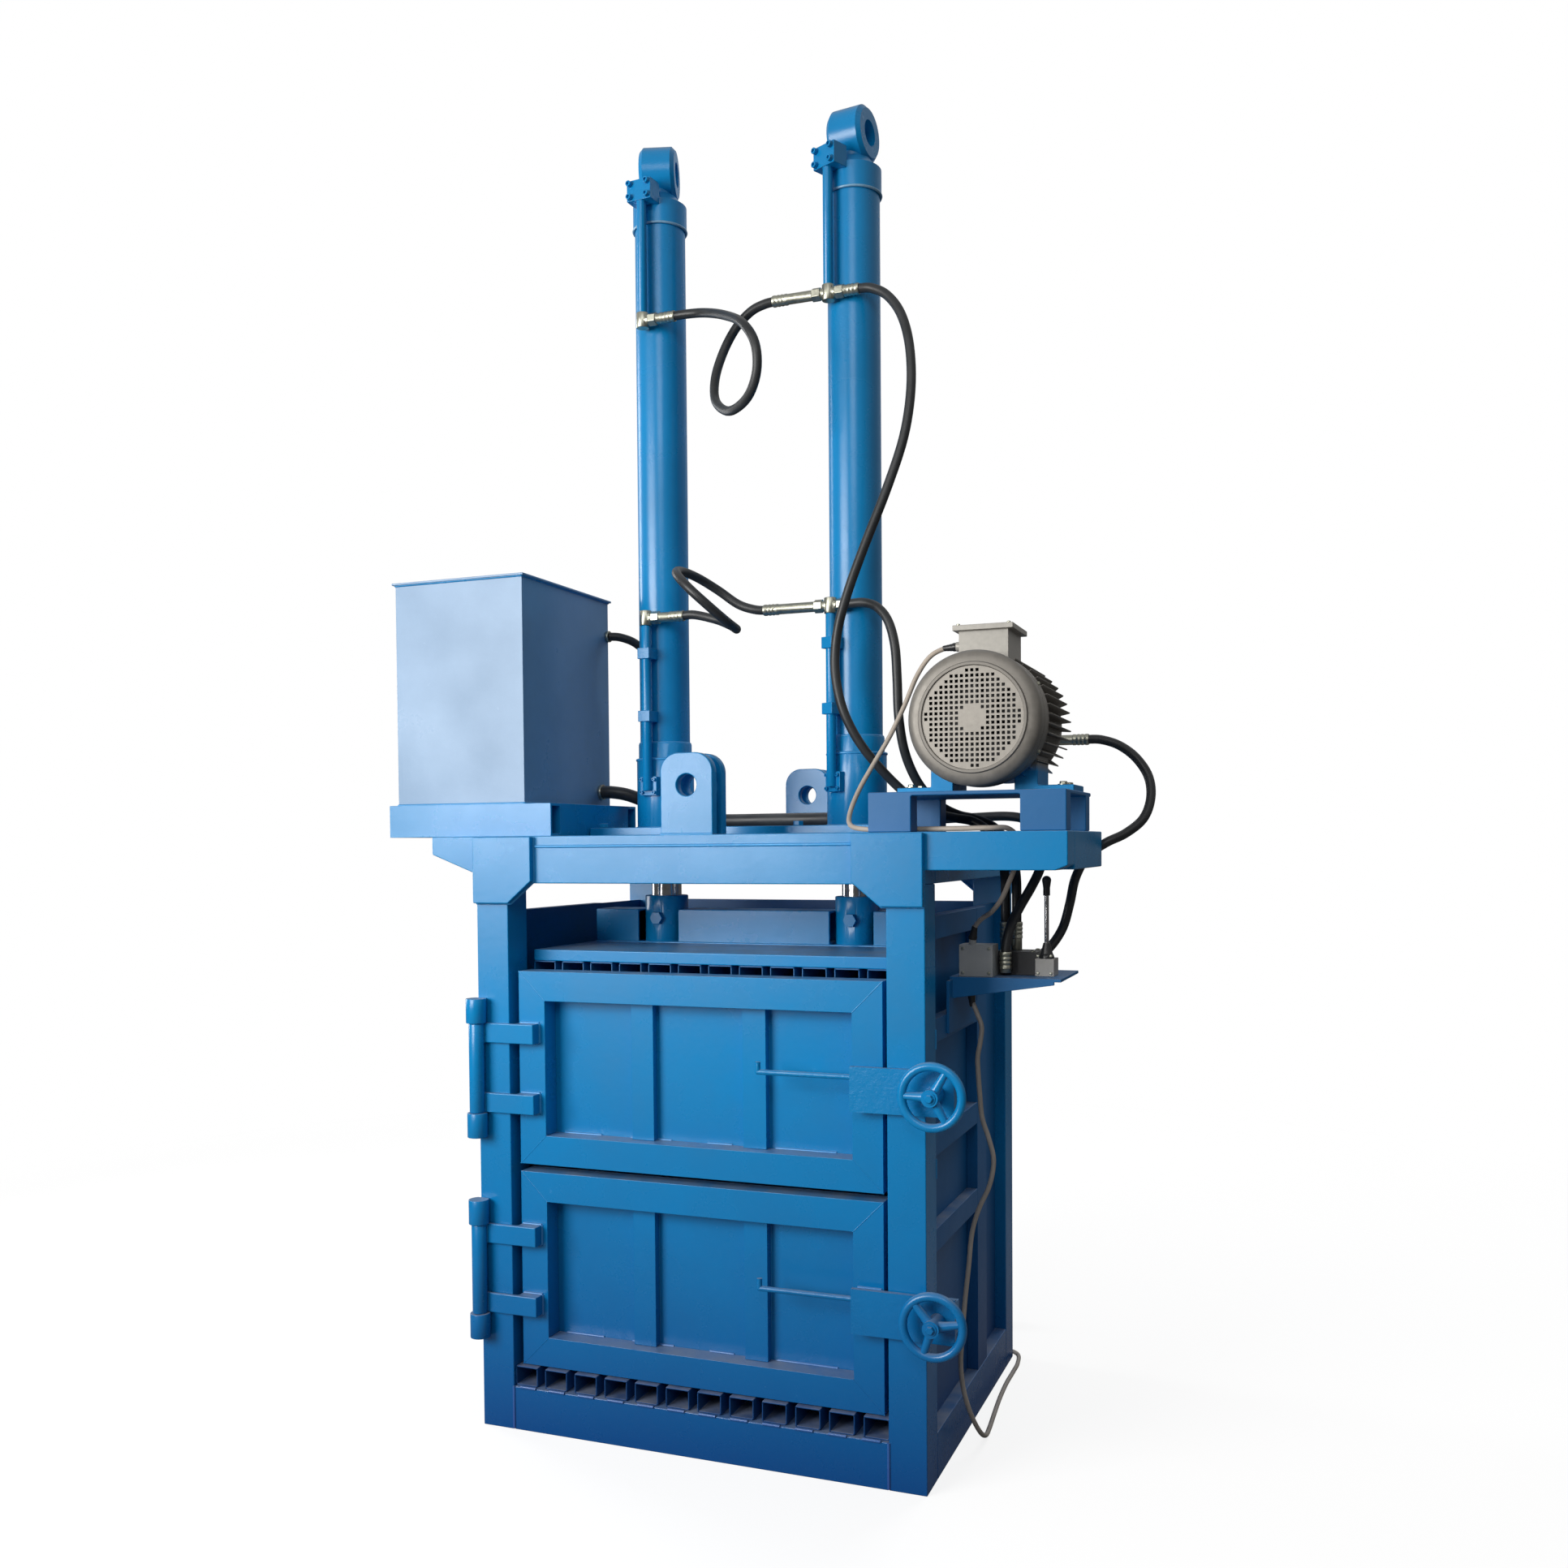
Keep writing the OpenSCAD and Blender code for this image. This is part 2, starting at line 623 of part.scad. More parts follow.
tank_port_r = 20;
return_z = tank_top - 106;
return_y = tank_f + 501;
suction_z = tank_z + 45;
suction_y = tank_f + 449;
module oil_tank() color(blue) {
    lo = [tank_l, tank_f, tank_z];
    hi = [tank_l + tank_w, tank_f + tank_d, tank_top];
    difference() {
        box(lo, hi);
        box(lo + [tank_wall, tank_wall, tank_wall], hi + [-tank_wall, -tank_wall, cut]);
        translate([hi[0] - tank_wall - cut, suction_y, suction_z]) along_x()
            cylinder(r = 14, h = tank_wall + 2 * cut);
    }
}

module tank_lid() color(blue) {
    box([tank_l - lid_over, tank_f - lid_over, tank_top],
        [tank_l + tank_w + lid_over, tank_f + tank_d + lid_over, tank_top + lid_t]);
    translate([tank_l + tank_w * 0.3, tank_f + tank_d * 0.7, tank_top + lid_t]) {
        cylinder(r = 32, h = 25);
        translate([0, 0, 25]) cylinder(r = 44, h = 40);
    }
}

module motor_base() color(navy) {
    top = beam_top + base_h;
    box([axis_x - base_half, base_f, top - plate_t], [axis_x + base_half, base_b, top]);
    for (x = [axis_x - base_half, axis_x + base_half - leg_w],
        y = [base_f, rear_arm_y + (rear_arm_w - leg_d) / 2])
        box([x, y, beam_top], [x + leg_w, y + leg_d, top - plate_t]);
}

foot_in = 126;
foot_out = 232;
foot_t = 18;
fin_n = 44;
fin_t = 4.5;
module motor_frame() color(grey) {
    base = beam_top + base_h;
    difference() {
        union() {
            translate([axis_x, motor_f, axis_z]) along_y() cylinder(r = core_r, h = motor_len, $fn = 72);
            translate([axis_x, motor_f, axis_z]) along_y() cylinder(r = cowl_r, h = 12, $fn = 72);
            for (i = [0:fin_n - 1]) let (a = 360 * (i + 0.5) / fin_n)
                if (abs(a - 90) > 24 && abs(a - 270) > 34)
                    translate([axis_x, motor_f + 12, axis_z]) rotate([0, -a, 0])
                        translate([core_r - 6, 0, -fin_t / 2])
                            cube([motor_r - core_r + 6, motor_len - 24, fin_t]);
            for (s = [-1, 1]) {
                x0 = axis_x + (s > 0 ? foot_in : -foot_out);
                x2 = axis_x + (s > 0 ? 80 : -140);
                box([x0, motor_f + 20, base], [x0 + foot_out - foot_in, base_b - 15, base + foot_t]);
                box([x2, motor_f + 20, base], [x2 + 60, base_b - 15, axis_z - 90]);
            }
        }
        translate([axis_x, motor_f + shield_t, axis_z]) along_y()
            cylinder(r = core_r - 22, h = motor_len - 2 * shield_t);
        translate([axis_x, motor_f - cut, axis_z]) along_y()
            cylinder(r = shaft_r + run_gap, h = motor_len + 2 * cut);
    }
}

// Fan cover: a stepped shell with a grille of square holes round a plain middle
hole_w = 10;
hole_pitch = 20;
module fan_cover() color(grey) translate([axis_x, cowl_f, axis_z]) difference() {
    along_y() rotate_extrude($fn = 72) polygon([
        [0, 0], [grille_r + 6, 0], [cowl_r, 26], [cowl_r, cowl_len], [cowl_r - 4, cowl_len],
        [cowl_r - 4, 28], [grille_r + 4, 4], [0, 4]]);
    for (i = [-6:6], j = [-6:6]) let (d = hole_pitch * norm([i, j]))
        if (d < grille_r - 12 && d > 38)
            translate([i * hole_pitch - hole_w / 2, -cut, j * hole_pitch - hole_w / 2])
                cube([hole_w, 4 + 2 * cut, hole_w]);
}

term_w = 130;
term_d = 160;
term_f = motor_f + 25;
term_gland = 26;        // length of the cable gland on the terminal box
term_gland_drop = 29;   // depth of that gland's axis under the lid
module terminal_box() color(grey) {
    z0 = axis_z + core_r - 3;
    z1 = axis_z + 235;
    difference() {
        union() {
            box([axis_x - term_w / 2, term_f, z0], [axis_x + term_w / 2, term_f + term_d, z1]);
            box([axis_x - term_w / 2 - 14, term_f - 12, z1],
                [axis_x + term_w / 2 + 14, term_f + term_d + 12, z1 + 14]);
        }
        translate([axis_x, term_f - cut, axis_z]) along_y()
            cylinder(r = core_r, h = term_d + 2 * cut, $fn = 72);
    }
    translate([axis_x - term_w / 2 - term_gland, term_f + term_d / 2, z1 - term_gland_drop]) along_x()
        cylinder(r = 13, h = term_gland);
}

coupling_r = 55;
core_play = 40;         // room at the rotor core's ends
module rotor() color(steel) {
    translate([axis_x, cowl_f + 30, axis_z]) along_y() cylinder(r = shaft_r, h = pump_f + 40 - cowl_f - 30);
    translate([axis_x, motor_f + shield_t + core_play, axis_z]) along_y()
        cylinder(r = core_r - 30, h = motor_len - 2 * shield_t - 2 * core_play);
    translate([axis_x, motor_b + 30, axis_z]) along_y() cylinder(r = coupling_r, h = bell_len - 60);
}

blade_n = 8;
fan_hub_r = 52;
fan_len = 40;
blade_in = 40;          // start of a blade from the shaft's axis
blade_reach = 105;
blade_w = 28;
blade_t = 6;
module cooling_fan() color(black) translate([axis_x, cowl_f + 40, axis_z]) difference() {
    union() {
        along_y() cylinder(r = fan_hub_r, h = fan_len);
        for (i = [0:blade_n - 1]) rotate([0, 360 * i / blade_n, 0])
            translate([blade_in, fan_len - blade_w - 4, -blade_t / 2]) cube([blade_reach, blade_w, blade_t]);
    }
    translate([0, -cut, 0]) along_y() cylinder(r = shaft_r + run_gap, h = fan_len + 2 * cut);
}

module bell_housing() color(grey) translate([axis_x, motor_b, axis_z]) difference() {
    along_y() cylinder(r = bell_r, h = bell_len);
    translate([0, 12, 0]) along_y() cylinder(r = bell_r - 14, h = bell_len - 24);
    translate([0, -cut, 0]) along_y() cylinder(r = shaft_r + 1, h = bell_len + 2 * cut);
}

module pump() color(navy) difference() {
    box([axis_x - pump_w / 2, pump_f, axis_z - pump_w / 2],
        [axis_x + pump_w / 2, pump_f + pump_len, axis_z + pump_w / 2]);
    translate([axis_x, pump_f - cut, axis_z]) along_y() cylinder(r = shaft_r + run_gap, h = 60);
}

// Cylinders

module barrels() color(blue) for (i = [0:1]) translate([cyl_x[i], mid_y, 0]) difference() {
    union() {
        translate([0, 0, gland_top]) cylinder(r = barrel_r, h = head_z - gland_top, $fn = 72);
        translate([0, 0, head_z - head_h]) cylinder(r = head_r, h = head_h, $fn = 72);
        translate([0, 0, head_z]) cylinder(r1 = head_r - 6, r2 = neck_r, h = 30, $fn = 72);
        translate([0, 0, head_z]) cylinder(r = neck_r, h = eye_z - head_z, $fn = 72);
        rotate([0, 0, eye_turn[i]]) translate([-eye_w / 2, 0, eye_z]) along_x() {
            cylinder(r1 = eye_r - eye_edge, r2 = eye_r, h = eye_edge, $fn = 72);
            translate([0, 0, eye_edge]) cylinder(r = eye_r, h = eye_w - 2 * eye_edge, $fn = 72);
            translate([0, 0, eye_w - eye_edge])
                cylinder(r1 = eye_r, r2 = eye_r - eye_edge, h = eye_edge, $fn = 72);
        }
    }
    translate([0, 0, gland_top - cut]) cylinder(r = bore_r, h = head_z - 40 - gland_top + cut, $fn = 72);
    rotate([0, 0, eye_turn[i]]) translate([-eye_w / 2 - cut, 0, eye_z]) along_x()
        cylinder(r = eye_bore_r, h = eye_w + 2 * cut);
}

module glands() color(blue) for (x = cyl_x) translate([x, mid_y, deck_top]) difference() {
    union() {
        cylinder(r = gland_r, h = gland_h, $fn = 72);
        translate([0, 0, gland_h]) cylinder(r = barrel_r + 5, h = gland_ring_h, $fn = 72);
    }
    translate([0, 0, -cut]) cylinder(r = rod_r + run_gap, h = gland_h + cut + cut);
    translate([0, 0, 90]) cylinder(r = bore_r, h = gland_h + gland_ring_h, $fn = 72);
}

// Upper and lower pipe of each cylinder, with clamps and a flange block
module cylinder_pipes() color(blue) for (i = [0:1]) difference() {
    block_z = pipe_top - pipe_r;
    union() {
        translate([pipe_x[i], pipe_y[i], upper_port_z + tee_h])
            cylinder(r = pipe_r, h = pipe_top - upper_port_z - tee_h);
        translate([pipe_x[i], pipe_y[i], gland_port_z])
            cylinder(r = pipe_r, h = lower_port_z - tee_h - gland_port_z);
        translate([cyl_x[i], mid_y, 0]) rotate([0, 0, pipe_turn[i]]) {
            translate([-block_w / 2, -pipe_off - 16, block_z - block_h / 2])
                cube([block_w, pipe_off + 16 - head_r + 30, block_h]);
            translate([0, -pipe_off, gland_port_z + pipe_r]) along_y()
                cylinder(r = pipe_r, h = pipe_off - barrel_r + 20);
            translate([-28, -barrel_r - 26, gland_port_z + pipe_r - 28]) cube([56, 40, 56]);
            for (z = [lower_port_z - 120, gland_top + 60])
                translate([-20, -pipe_off - pipe_r - 4, z]) cube([40, 50, 32]);
        }
    }
    translate([cyl_x[i], mid_y, gland_top]) cylinder(r = barrel_r, h = head_z - gland_top, $fn = 72);
    translate([cyl_x[i], mid_y, head_z - head_h]) cylinder(r = head_r, h = 2 * head_h, $fn = 72);
    translate([cyl_x[i], mid_y, deck_top]) cylinder(r = gland_r, h = gland_h, $fn = 72);
    translate([cyl_x[i], mid_y, deck_top]) cylinder(r = barrel_r + 5, h = gland_h + gland_ring_h, $fn = 72);
}

// Hex nut and ferrule along a stretch from x0 to x1
module ferrule_x(x0, x1, y, z, nut_at) {
    translate([x0, y, z]) along_x() cylinder(r = ferrule_r, h = x1 - x0);
    translate([nut_at, y, z]) along_x() cylinder(r = ferrule_r + 5, h = 24, $fn = 6);
}
module ferrule_z(x, y, z0, z1) {
    translate([x, y, z0]) cylinder(r = ferrule_r, h = z1 - z0);
    translate([x, y, z0]) cylinder(r = ferrule_r, h = 22, $fn = 6);
}
// Upper and lower hose ends beside the pipes
ends_x = [
    [pipe_x[0] + 100, pipe_x[0] + 120], [pipe_x[1] - 161, pipe_x[1] - 196], [pipe_x[1] + 85, pipe_x[1] + 30]];
pump_ferrule = 124;     // length of the ferrule on the pump
inlet_len = 14;         // length of the pump's inlet port
module hose_fittings() color(steel) {
    for (k = [0:1]) let (z = [upper_port_z, lower_port_z][k]) {
        for (i = [0:1]) translate([pipe_x[i], pipe_y[i], z - tee_h]) cylinder(r = pipe_r + 4, h = 2 * tee_h);
        ferrule_x(pipe_x[0], ends_x[0][k], pipe_y[0], z, pipe_x[0] + 22);
        ferrule_x(ends_x[1][k], pipe_x[1], pipe_y[1], z, pipe_x[1] - 46);
        ferrule_x(pipe_x[1], ends_x[2][k], pipe_y[1], z, pipe_x[1] + 22);
    }
    for (x = port_x) ferrule_z(x, port_y, shelf_z + valve_h, port_top);
    translate([valve_x + 33, valve_f - 25, shelf_z + 20]) along_y() cylinder(r = ferrule_r - 2, h = 25);
    translate([valve_x + 33, valve_f - 25, shelf_z + 8]) cylinder(r = ferrule_r, h = 49);
    translate([port_x[1], valve_f + valve_d, shelf_z + 25]) along_y() cylinder(r = ferrule_r, h = 50);
    ferrule_x(axis_x + pump_w / 2, axis_x + pump_w / 2 + pump_ferrule,
        pump_f + 25, axis_z - 22, axis_x + pump_w / 2);
    translate([tank_l + tank_w, return_y, return_z]) along_x() cylinder(r = ferrule_r + 3, h = 10);
    translate([tank_l + tank_w, suction_y, suction_z]) along_x() cylinder(r = suction_d / 2 + 4, h = 10);
    translate([axis_x - pump_w / 2 - inlet_len, pump_f + 80, axis_z - 2]) along_x()
        cylinder(r = suction_d / 2 + 4, h = inlet_len);
}

// Valve shelf with its valve, lever and switch box

module valve_shelf() color(navy) {
    x0 = right - knock;
    box([x0, shelf_f, shelf_z - shelf_t], [right + shelf_w, shelf_b, shelf_z]);
    box([x0, shelf_f - shelf_skirt, high_rail_z - 20], [x0 + shelf_t, shelf_b, shelf_z - shelf_t]);
    for (y = [shelf_f, shelf_b - shelf_t]) slab_y(y, y + shelf_t) polygon([
        [x0, shelf_z - shelf_t], [x0, shelf_z - 58], [right + shelf_w - 18, shelf_z - 16],
        [right + shelf_w - 18, shelf_z - shelf_t]]);
    translate([right + gland_in, shelf_f + gland_in, shelf_z - gland_drop])
        cylinder(r = cable_gland_r, h = gland_drop - shelf_t);
}

module valve_body() color(black) {
    box([valve_x, valve_f, shelf_z], [valve_x + valve_w, valve_f + valve_d, shelf_z + valve_h]);
    difference() {
        box([valve_x + valve_w, lever_y - 32, shelf_z],
            [valve_x + valve_w + housing_w, lever_y + 32, lever_z]);
        translate([lever_x, lever_y, lever_z]) sphere(r = boot_r + slip);
    }
}

module valve_lever() color(steel) translate([lever_x, lever_y, lever_z]) cylinder(r = lever_r, h = lever_len);

module lever_knob_boot() color(black) translate([lever_x, lever_y, lever_z]) {
    difference() {
        union() {
            sphere(r = boot_r);
            cylinder(r1 = boot_r - 1, r2 = lever_r + 3, h = boot_h);
        }
        cylinder(r = lever_r, h = lever_len);
    }
    translate([0, 0, lever_len]) cylinder(r = knob_r - 3, h = 20);
    translate([0, 0, lever_len + 20]) cylinder(r1 = knob_r - 3, r2 = knob_r, h = 20);
    translate([0, 0, lever_len + 40]) sphere(r = knob_r);
}

module switch_box() color(grey) {
    box([box_x, box_f, shelf_z], [box_x + box_w, box_f + box_d, shelf_z + box_h]);
    translate([box_x + 30, box_f + 30, shelf_z + box_h]) cylinder(r = cable_gland_r - 2, h = 14);
}

// Doors

module hinge_knuckles() color(blue) for (z = [lower_z + lower_door_h / 2, upper_z + upper_door_h / 2])
    translate([pivot_x, pivot_y, z]) {
        difference() {
            for (s = [-1, 1])
                translate([0, 0, s > 0 ? hinge_len / 2 + slip : -hinge_len / 2 - slip - knuckle_h])
                cylinder(r = knuckle_r, h = knuckle_h);
            translate([-2 * knuckle_r, -pivot_y + front, -hinge_len])
                cube([4 * knuckle_r, knuckle_r, 2 * hinge_len]);
        }
        translate([0, 0, -hinge_len / 2 - knuckle_h]) cylinder(r = pin_r, h = hinge_len + 2 * knuckle_h);
    }

module lock_nuts() color(blue) for (z = [lower_z + lower_door_h / 2, upper_z + upper_door_h / 2])
    difference() {
    box([right, nut_y, z - nut_h / 2], [right + nut_w, nut_y + nut_d, z + nut_h / 2]);
    translate([lock_x, nut_y - cut, z]) along_y() cylinder(r = screw_r + nut_gap, h = nut_d + 2 * cut);
}

// Frame of four mitred channel bars, open at the back
module door_frame(z0, h) color(blue) {
    z1 = z0 + h;
    g = weld_gap / 2;
    w = bar_w;
    difference() {
        slab_y(door_f, door_b) {
            for (s = [0, 1]) mirror([0, s]) translate([0, s ? -z0 - z1 : 0]) polygon([
                [door_l + g, z0], [door_r - g, z0], [door_r - w - g, z0 + w], [door_l + w + g, z0 + w]]);
            for (s = [0, 1]) mirror([s, 0]) translate([s ? -door_l - door_r : 0, 0]) polygon([
                [door_l, z0 + g], [door_l + w, z0 + w + g], [door_l + w, z1 - w - g], [door_l, z1 - g]]);
        }
        for (z = [z0, z1 - w])
            box([door_l + w + bar_wall, door_f + bar_wall, z + bar_wall],
                [door_r - w - bar_wall, door_b + cut, z + w - bar_wall]);
        for (x = [door_l, door_r - w])
            box([x + bar_wall, door_f + bar_wall, z0 + w + bar_wall],
                [x + w - bar_wall, door_b + cut, z1 - w - bar_wall]);
    }
}

module door_panel(z0, h) color(blue) {
    box([door_l, door_b, z0], [door_r, door_b + door_sheet, z0 + h]);
    for (s = [-1, 1]) {
        x = mid_x + s * rib_span / 2;
        box([x - rib_w / 2, door_b - rib_d, z0 + bar_w + weld_gap],
            [x + rib_w / 2, door_b, z0 + h - bar_w - weld_gap]);
    }
}

// Turning hinge tube with two straps that reach round the column's edge to the door
module hinge_straps(z) color(blue) difference() {
    union() {
        translate([pivot_x, pivot_y, z - hinge_len / 2]) cylinder(r = hinge_r, h = hinge_len);
        for (s = [-1, 1]) {
            z0 = z + s * (hinge_len - strap_h) / 2 - strap_h / 2;
            box([pivot_x, front - knock / 2 - strap_t, z0],
                [door_l + strap_end, front - knock / 2, z0 + strap_h]);
            box([door_l + 2, front - knock / 2, z0], [door_l + strap_end, door_f, z0 + strap_h]);
        }
    }
    translate([pivot_x, pivot_y, z - hinge_len]) cylinder(r = pin_r + run_gap, h = 2 * hinge_len);
}

// Thick lock plate with its spacer on the door and a round handle with an upturned end
module lock_plate(z) color(blue) {
    x0 = door_r - lock_end;
    hx = x0 - handle_len;
    hz = z + 30;
    hy = lock_f + handle_d / 2;
    difference() {
        box([x0, lock_f, z - lock_h / 2], [lock_x + lock_edge, lock_f + lock_t, z + lock_h / 2]);
        translate([lock_x, lock_f - cut, z]) along_y() cylinder(r = screw_r + run_gap, h = lock_t + 2 * cut);
    }
    box([x0 + 4, lock_f + lock_t, z - lock_h / 2 + 8], [door_r - 4, door_f, z + lock_h / 2 - 8]);
    translate([hx, hy, hz]) along_x() cylinder(d = handle_d, h = handle_len);
    translate([hx, hy, hz]) cylinder(d = handle_d, h = 26);
    translate([hx, hy, hz]) sphere(d = handle_d);
}

// Cast handwheel with three spokes on its lock screw; turn places the spokes
module handwheel(z, turn) color(blue) translate([lock_x, 0, z]) {
    rim_y = front - screw_head + hub_r;
    hub_b = lock_f - slip;
    ring_r = wheel_d / 2 - rim_r;
    translate([0, rim_y, 0]) along_y() rotate_extrude($fn = 60)
        translate([ring_r, 0]) circle(rim_r, $fn = 24);
    for (k = [0:2]) rotate([0, turn + 120 * k, 0]) translate([0, rim_y, 0]) along_x()
        cylinder(r = 8, h = ring_r);
    translate([0, front - screw_head, 0]) along_y() cylinder(r = hub_r, h = hub_b - front + screw_head);
    translate([0, hub_b, 0]) along_y() cylinder(r = screw_r, h = nut_y + screw_nose - hub_b);
    translate([0, lock_f + lock_t + slip, 0]) along_y() cylinder(r = screw_r + 6, h = 6);
}

lower_mid = lower_z + lower_door_h / 2;
upper_mid = upper_z + upper_door_h / 2;
module lower_door_frame() door_frame(lower_z, lower_door_h);
module upper_door_frame() door_frame(upper_z, upper_door_h);
module lower_door_panel() door_panel(lower_z, lower_door_h);
module upper_door_panel() door_panel(upper_z, upper_door_h);
module lower_hinge_straps() hinge_straps(lower_mid);
module upper_hinge_straps() hinge_straps(upper_mid);
module lower_lock_plate() lock_plate(lower_mid);
module upper_lock_plate() lock_plate(upper_mid);
module lower_handwheel() handwheel(lower_mid, -11);
module upper_handwheel() handwheel(upper_mid, 60);

// Platen

module platen_plate() color(blue)
    box([platen_l, platen_f, platen_top - platen_t], [platen_r, platen_b, platen_top]);

module platen_tubes() color(navy)
    slats(platen_l, platen_r, platen_f, platen_b, platen_top - platen_t - slat_h);

module platen_beam() color(blue) {
    x0 = [platen_l + 16, cyl_x[0] + socket_r + weld_gap, cyl_x[1] + socket_r + weld_gap];
    x1 = [cyl_x[0] - socket_r - weld_gap, cyl_x[1] - socket_r - weld_gap, platen_r - 16];
    for (i = [0:2]) box_tube([x0[i], mid_y - stiff_d / 2, platen_top],
        [x1[i], mid_y + stiff_d / 2, platen_top + stiff_h], 0, tube_wall);
}

cross_z = platen_top + 74;
module rod_sockets() color(blue) for (x = cyl_x) translate([x, mid_y, 0]) difference() {
    translate([0, 0, platen_top]) cylinder(r = socket_r, h = socket_h);
    translate([0, 0, platen_top - cut]) cylinder(r = rod_r + run_gap, h = socket_h + 2 * cut);
    translate([0, -socket_r - cut, cross_z]) along_y()
        cylinder(r = cross_r + run_gap, h = 2 * socket_r + 2 * cut);
}

module socket_bolts() color(steel) for (x = cyl_x) translate([x, mid_y - socket_r - 14, cross_z]) along_y() {
    cylinder(r = cross_r * 1.7, h = 14, $fn = 6);
    cylinder(r = cross_r, h = 2 * socket_r + 40);
    translate([0, 0, 2 * socket_r + 14]) cylinder(r = cross_r * 1.7, h = 18, $fn = 6);
}

module piston_rods() color(steel) for (x = cyl_x) translate([x, mid_y, 0]) difference() {
    union() {
        translate([0, 0, platen_top]) cylinder(r = rod_r, h = piston_top - platen_top);
        translate([0, 0, piston_top - piston_h]) cylinder(r = bore_r - run_gap, h = piston_h, $fn = 72);
    }
    translate([0, -rod_r - cut, cross_z]) along_y() cylinder(r = cross_r + run_gap, h = 2 * rod_r + 2 * cut);
}

// Hoses and cables

module upper_link_hose() color(black) sweep(upper_link_route, hose_d);
module upper_feed_hose() color(black) sweep(upper_feed_route, hose_d);
module lower_link_hose() color(black) sweep(lower_link_route, hose_d);
module lower_feed_hose() color(black) sweep(lower_feed_route, hose_d);
module pump_hose() color(black) sweep(pump_route, hose_d);
module return_hose() color(black) sweep(return_route, hose_d);
module suction_hose() color(black) sweep(suction_route, suction_d);
module motor_cable() color(beige) sweep(motor_cable_route, cable_d, 8);
module supply_cable() color(beige) sweep(supply_route, cable_d, 8);
module supply_coil() color(beige) translate([coil_at[0], coil_at[1], 0]) rotate_extrude()
    translate([coil_r - 2 * cable_d, 0]) square([4 * cable_d, 3 * cable_d]);

// Five-pin plug that lies beside the coil
module supply_plug() color(black) translate([coil_at[0], coil_at[1], plug_r + 6])
    rotate([0, 0, plug_turn]) translate([plug_run, coil_r + 1.5 * cable_d, 0]) along_x() {
        cylinder(r1 = cable_d / 2 + 4, r2 = plug_r - 4, h = plug_len * 0.35);
        translate([0, 0, plug_len * 0.35]) cylinder(r = plug_r, h = plug_len * 0.35);
        translate([0, 0, plug_len * 0.7]) difference() {
            cylinder(r = plug_r + 6, h = plug_len * 0.3);
            translate([0, 0, 4]) cylinder(r = plug_r, h = plug_len * 0.3);
        }
        for (k = [0:4]) rotate([0, 0, 72 * k]) translate([plug_r * 0.55, 0, plug_len * 0.7])
            cylinder(r = 4, h = plug_len * 0.25);
    }

base_frame();
floor_tubes();
columns();
chamber_walls();
wall_ribs();
cross_beams();
top_girders();
deck_plate();
deck_bolts();
corner_gussets();
lifting_lugs();
tank_tray();
oil_tank();
tank_lid();
motor_base();
motor_frame();
fan_cover();
terminal_box();
rotor();
cooling_fan();
bell_housing();
pump();
barrels();
glands();
cylinder_pipes();
hose_fittings();
valve_shelf();
valve_body();
valve_lever();
lever_knob_boot();
switch_box();
hinge_knuckles();
lock_nuts();
upper_door_frame();
upper_door_panel();
upper_hinge_straps();
upper_lock_plate();
upper_handwheel();
lower_door_frame();
lower_door_panel();
lower_hinge_straps();
lower_lock_plate();
lower_handwheel();
platen_plate();
platen_tubes();
platen_beam();
rod_sockets();
socket_bolts();
piston_rods();
upper_link_hose();
lower_link_hose();
upper_feed_hose();
lower_feed_hose();
pump_hose();
return_hose();
suction_hose();
motor_cable();
supply_cable();
supply_coil();
supply_plug();
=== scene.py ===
"""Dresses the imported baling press: enamel, welds, grille, bolts, hoses and cables on its fixed CAD frame."""

import math
from functools import cache

import bmesh
import bpy
from bpy.props import FloatProperty, FloatVectorProperty, PointerProperty
from bpy.types import Operator, Panel, PropertyGroup
from mathutils import Matrix, Vector


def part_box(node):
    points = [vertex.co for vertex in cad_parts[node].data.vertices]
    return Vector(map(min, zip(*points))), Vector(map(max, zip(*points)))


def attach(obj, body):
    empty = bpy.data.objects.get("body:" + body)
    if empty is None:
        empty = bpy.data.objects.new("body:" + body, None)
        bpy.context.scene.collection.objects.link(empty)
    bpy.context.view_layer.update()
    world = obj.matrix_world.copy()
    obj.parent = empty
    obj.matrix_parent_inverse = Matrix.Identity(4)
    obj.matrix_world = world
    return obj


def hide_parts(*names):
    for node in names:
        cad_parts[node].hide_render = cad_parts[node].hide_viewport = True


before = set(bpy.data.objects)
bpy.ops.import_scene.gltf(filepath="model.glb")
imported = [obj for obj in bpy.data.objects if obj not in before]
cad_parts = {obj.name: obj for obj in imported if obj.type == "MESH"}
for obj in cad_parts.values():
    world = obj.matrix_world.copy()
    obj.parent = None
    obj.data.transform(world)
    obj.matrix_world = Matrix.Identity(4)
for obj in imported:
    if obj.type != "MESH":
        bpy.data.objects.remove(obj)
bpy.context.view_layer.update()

bl_info = {
    "name": "Baling Press Dresser",
    "version": (1, 0, 0),
    "blender": (4, 5, 0),
    "location": "View3D > Sidebar > Press",
    "description": "Paints and details an upright hydraulic baling press",
    "category": "Object",
}

MM = 0.001
# Side of the photograph and the shift of its middle, in pixels; width of the camera's sensor, in millimetres
PHOTO_SIDE, PHOTO_SHIFT, SENSOR = 1932.0, (4.0, 126.0), 36.0

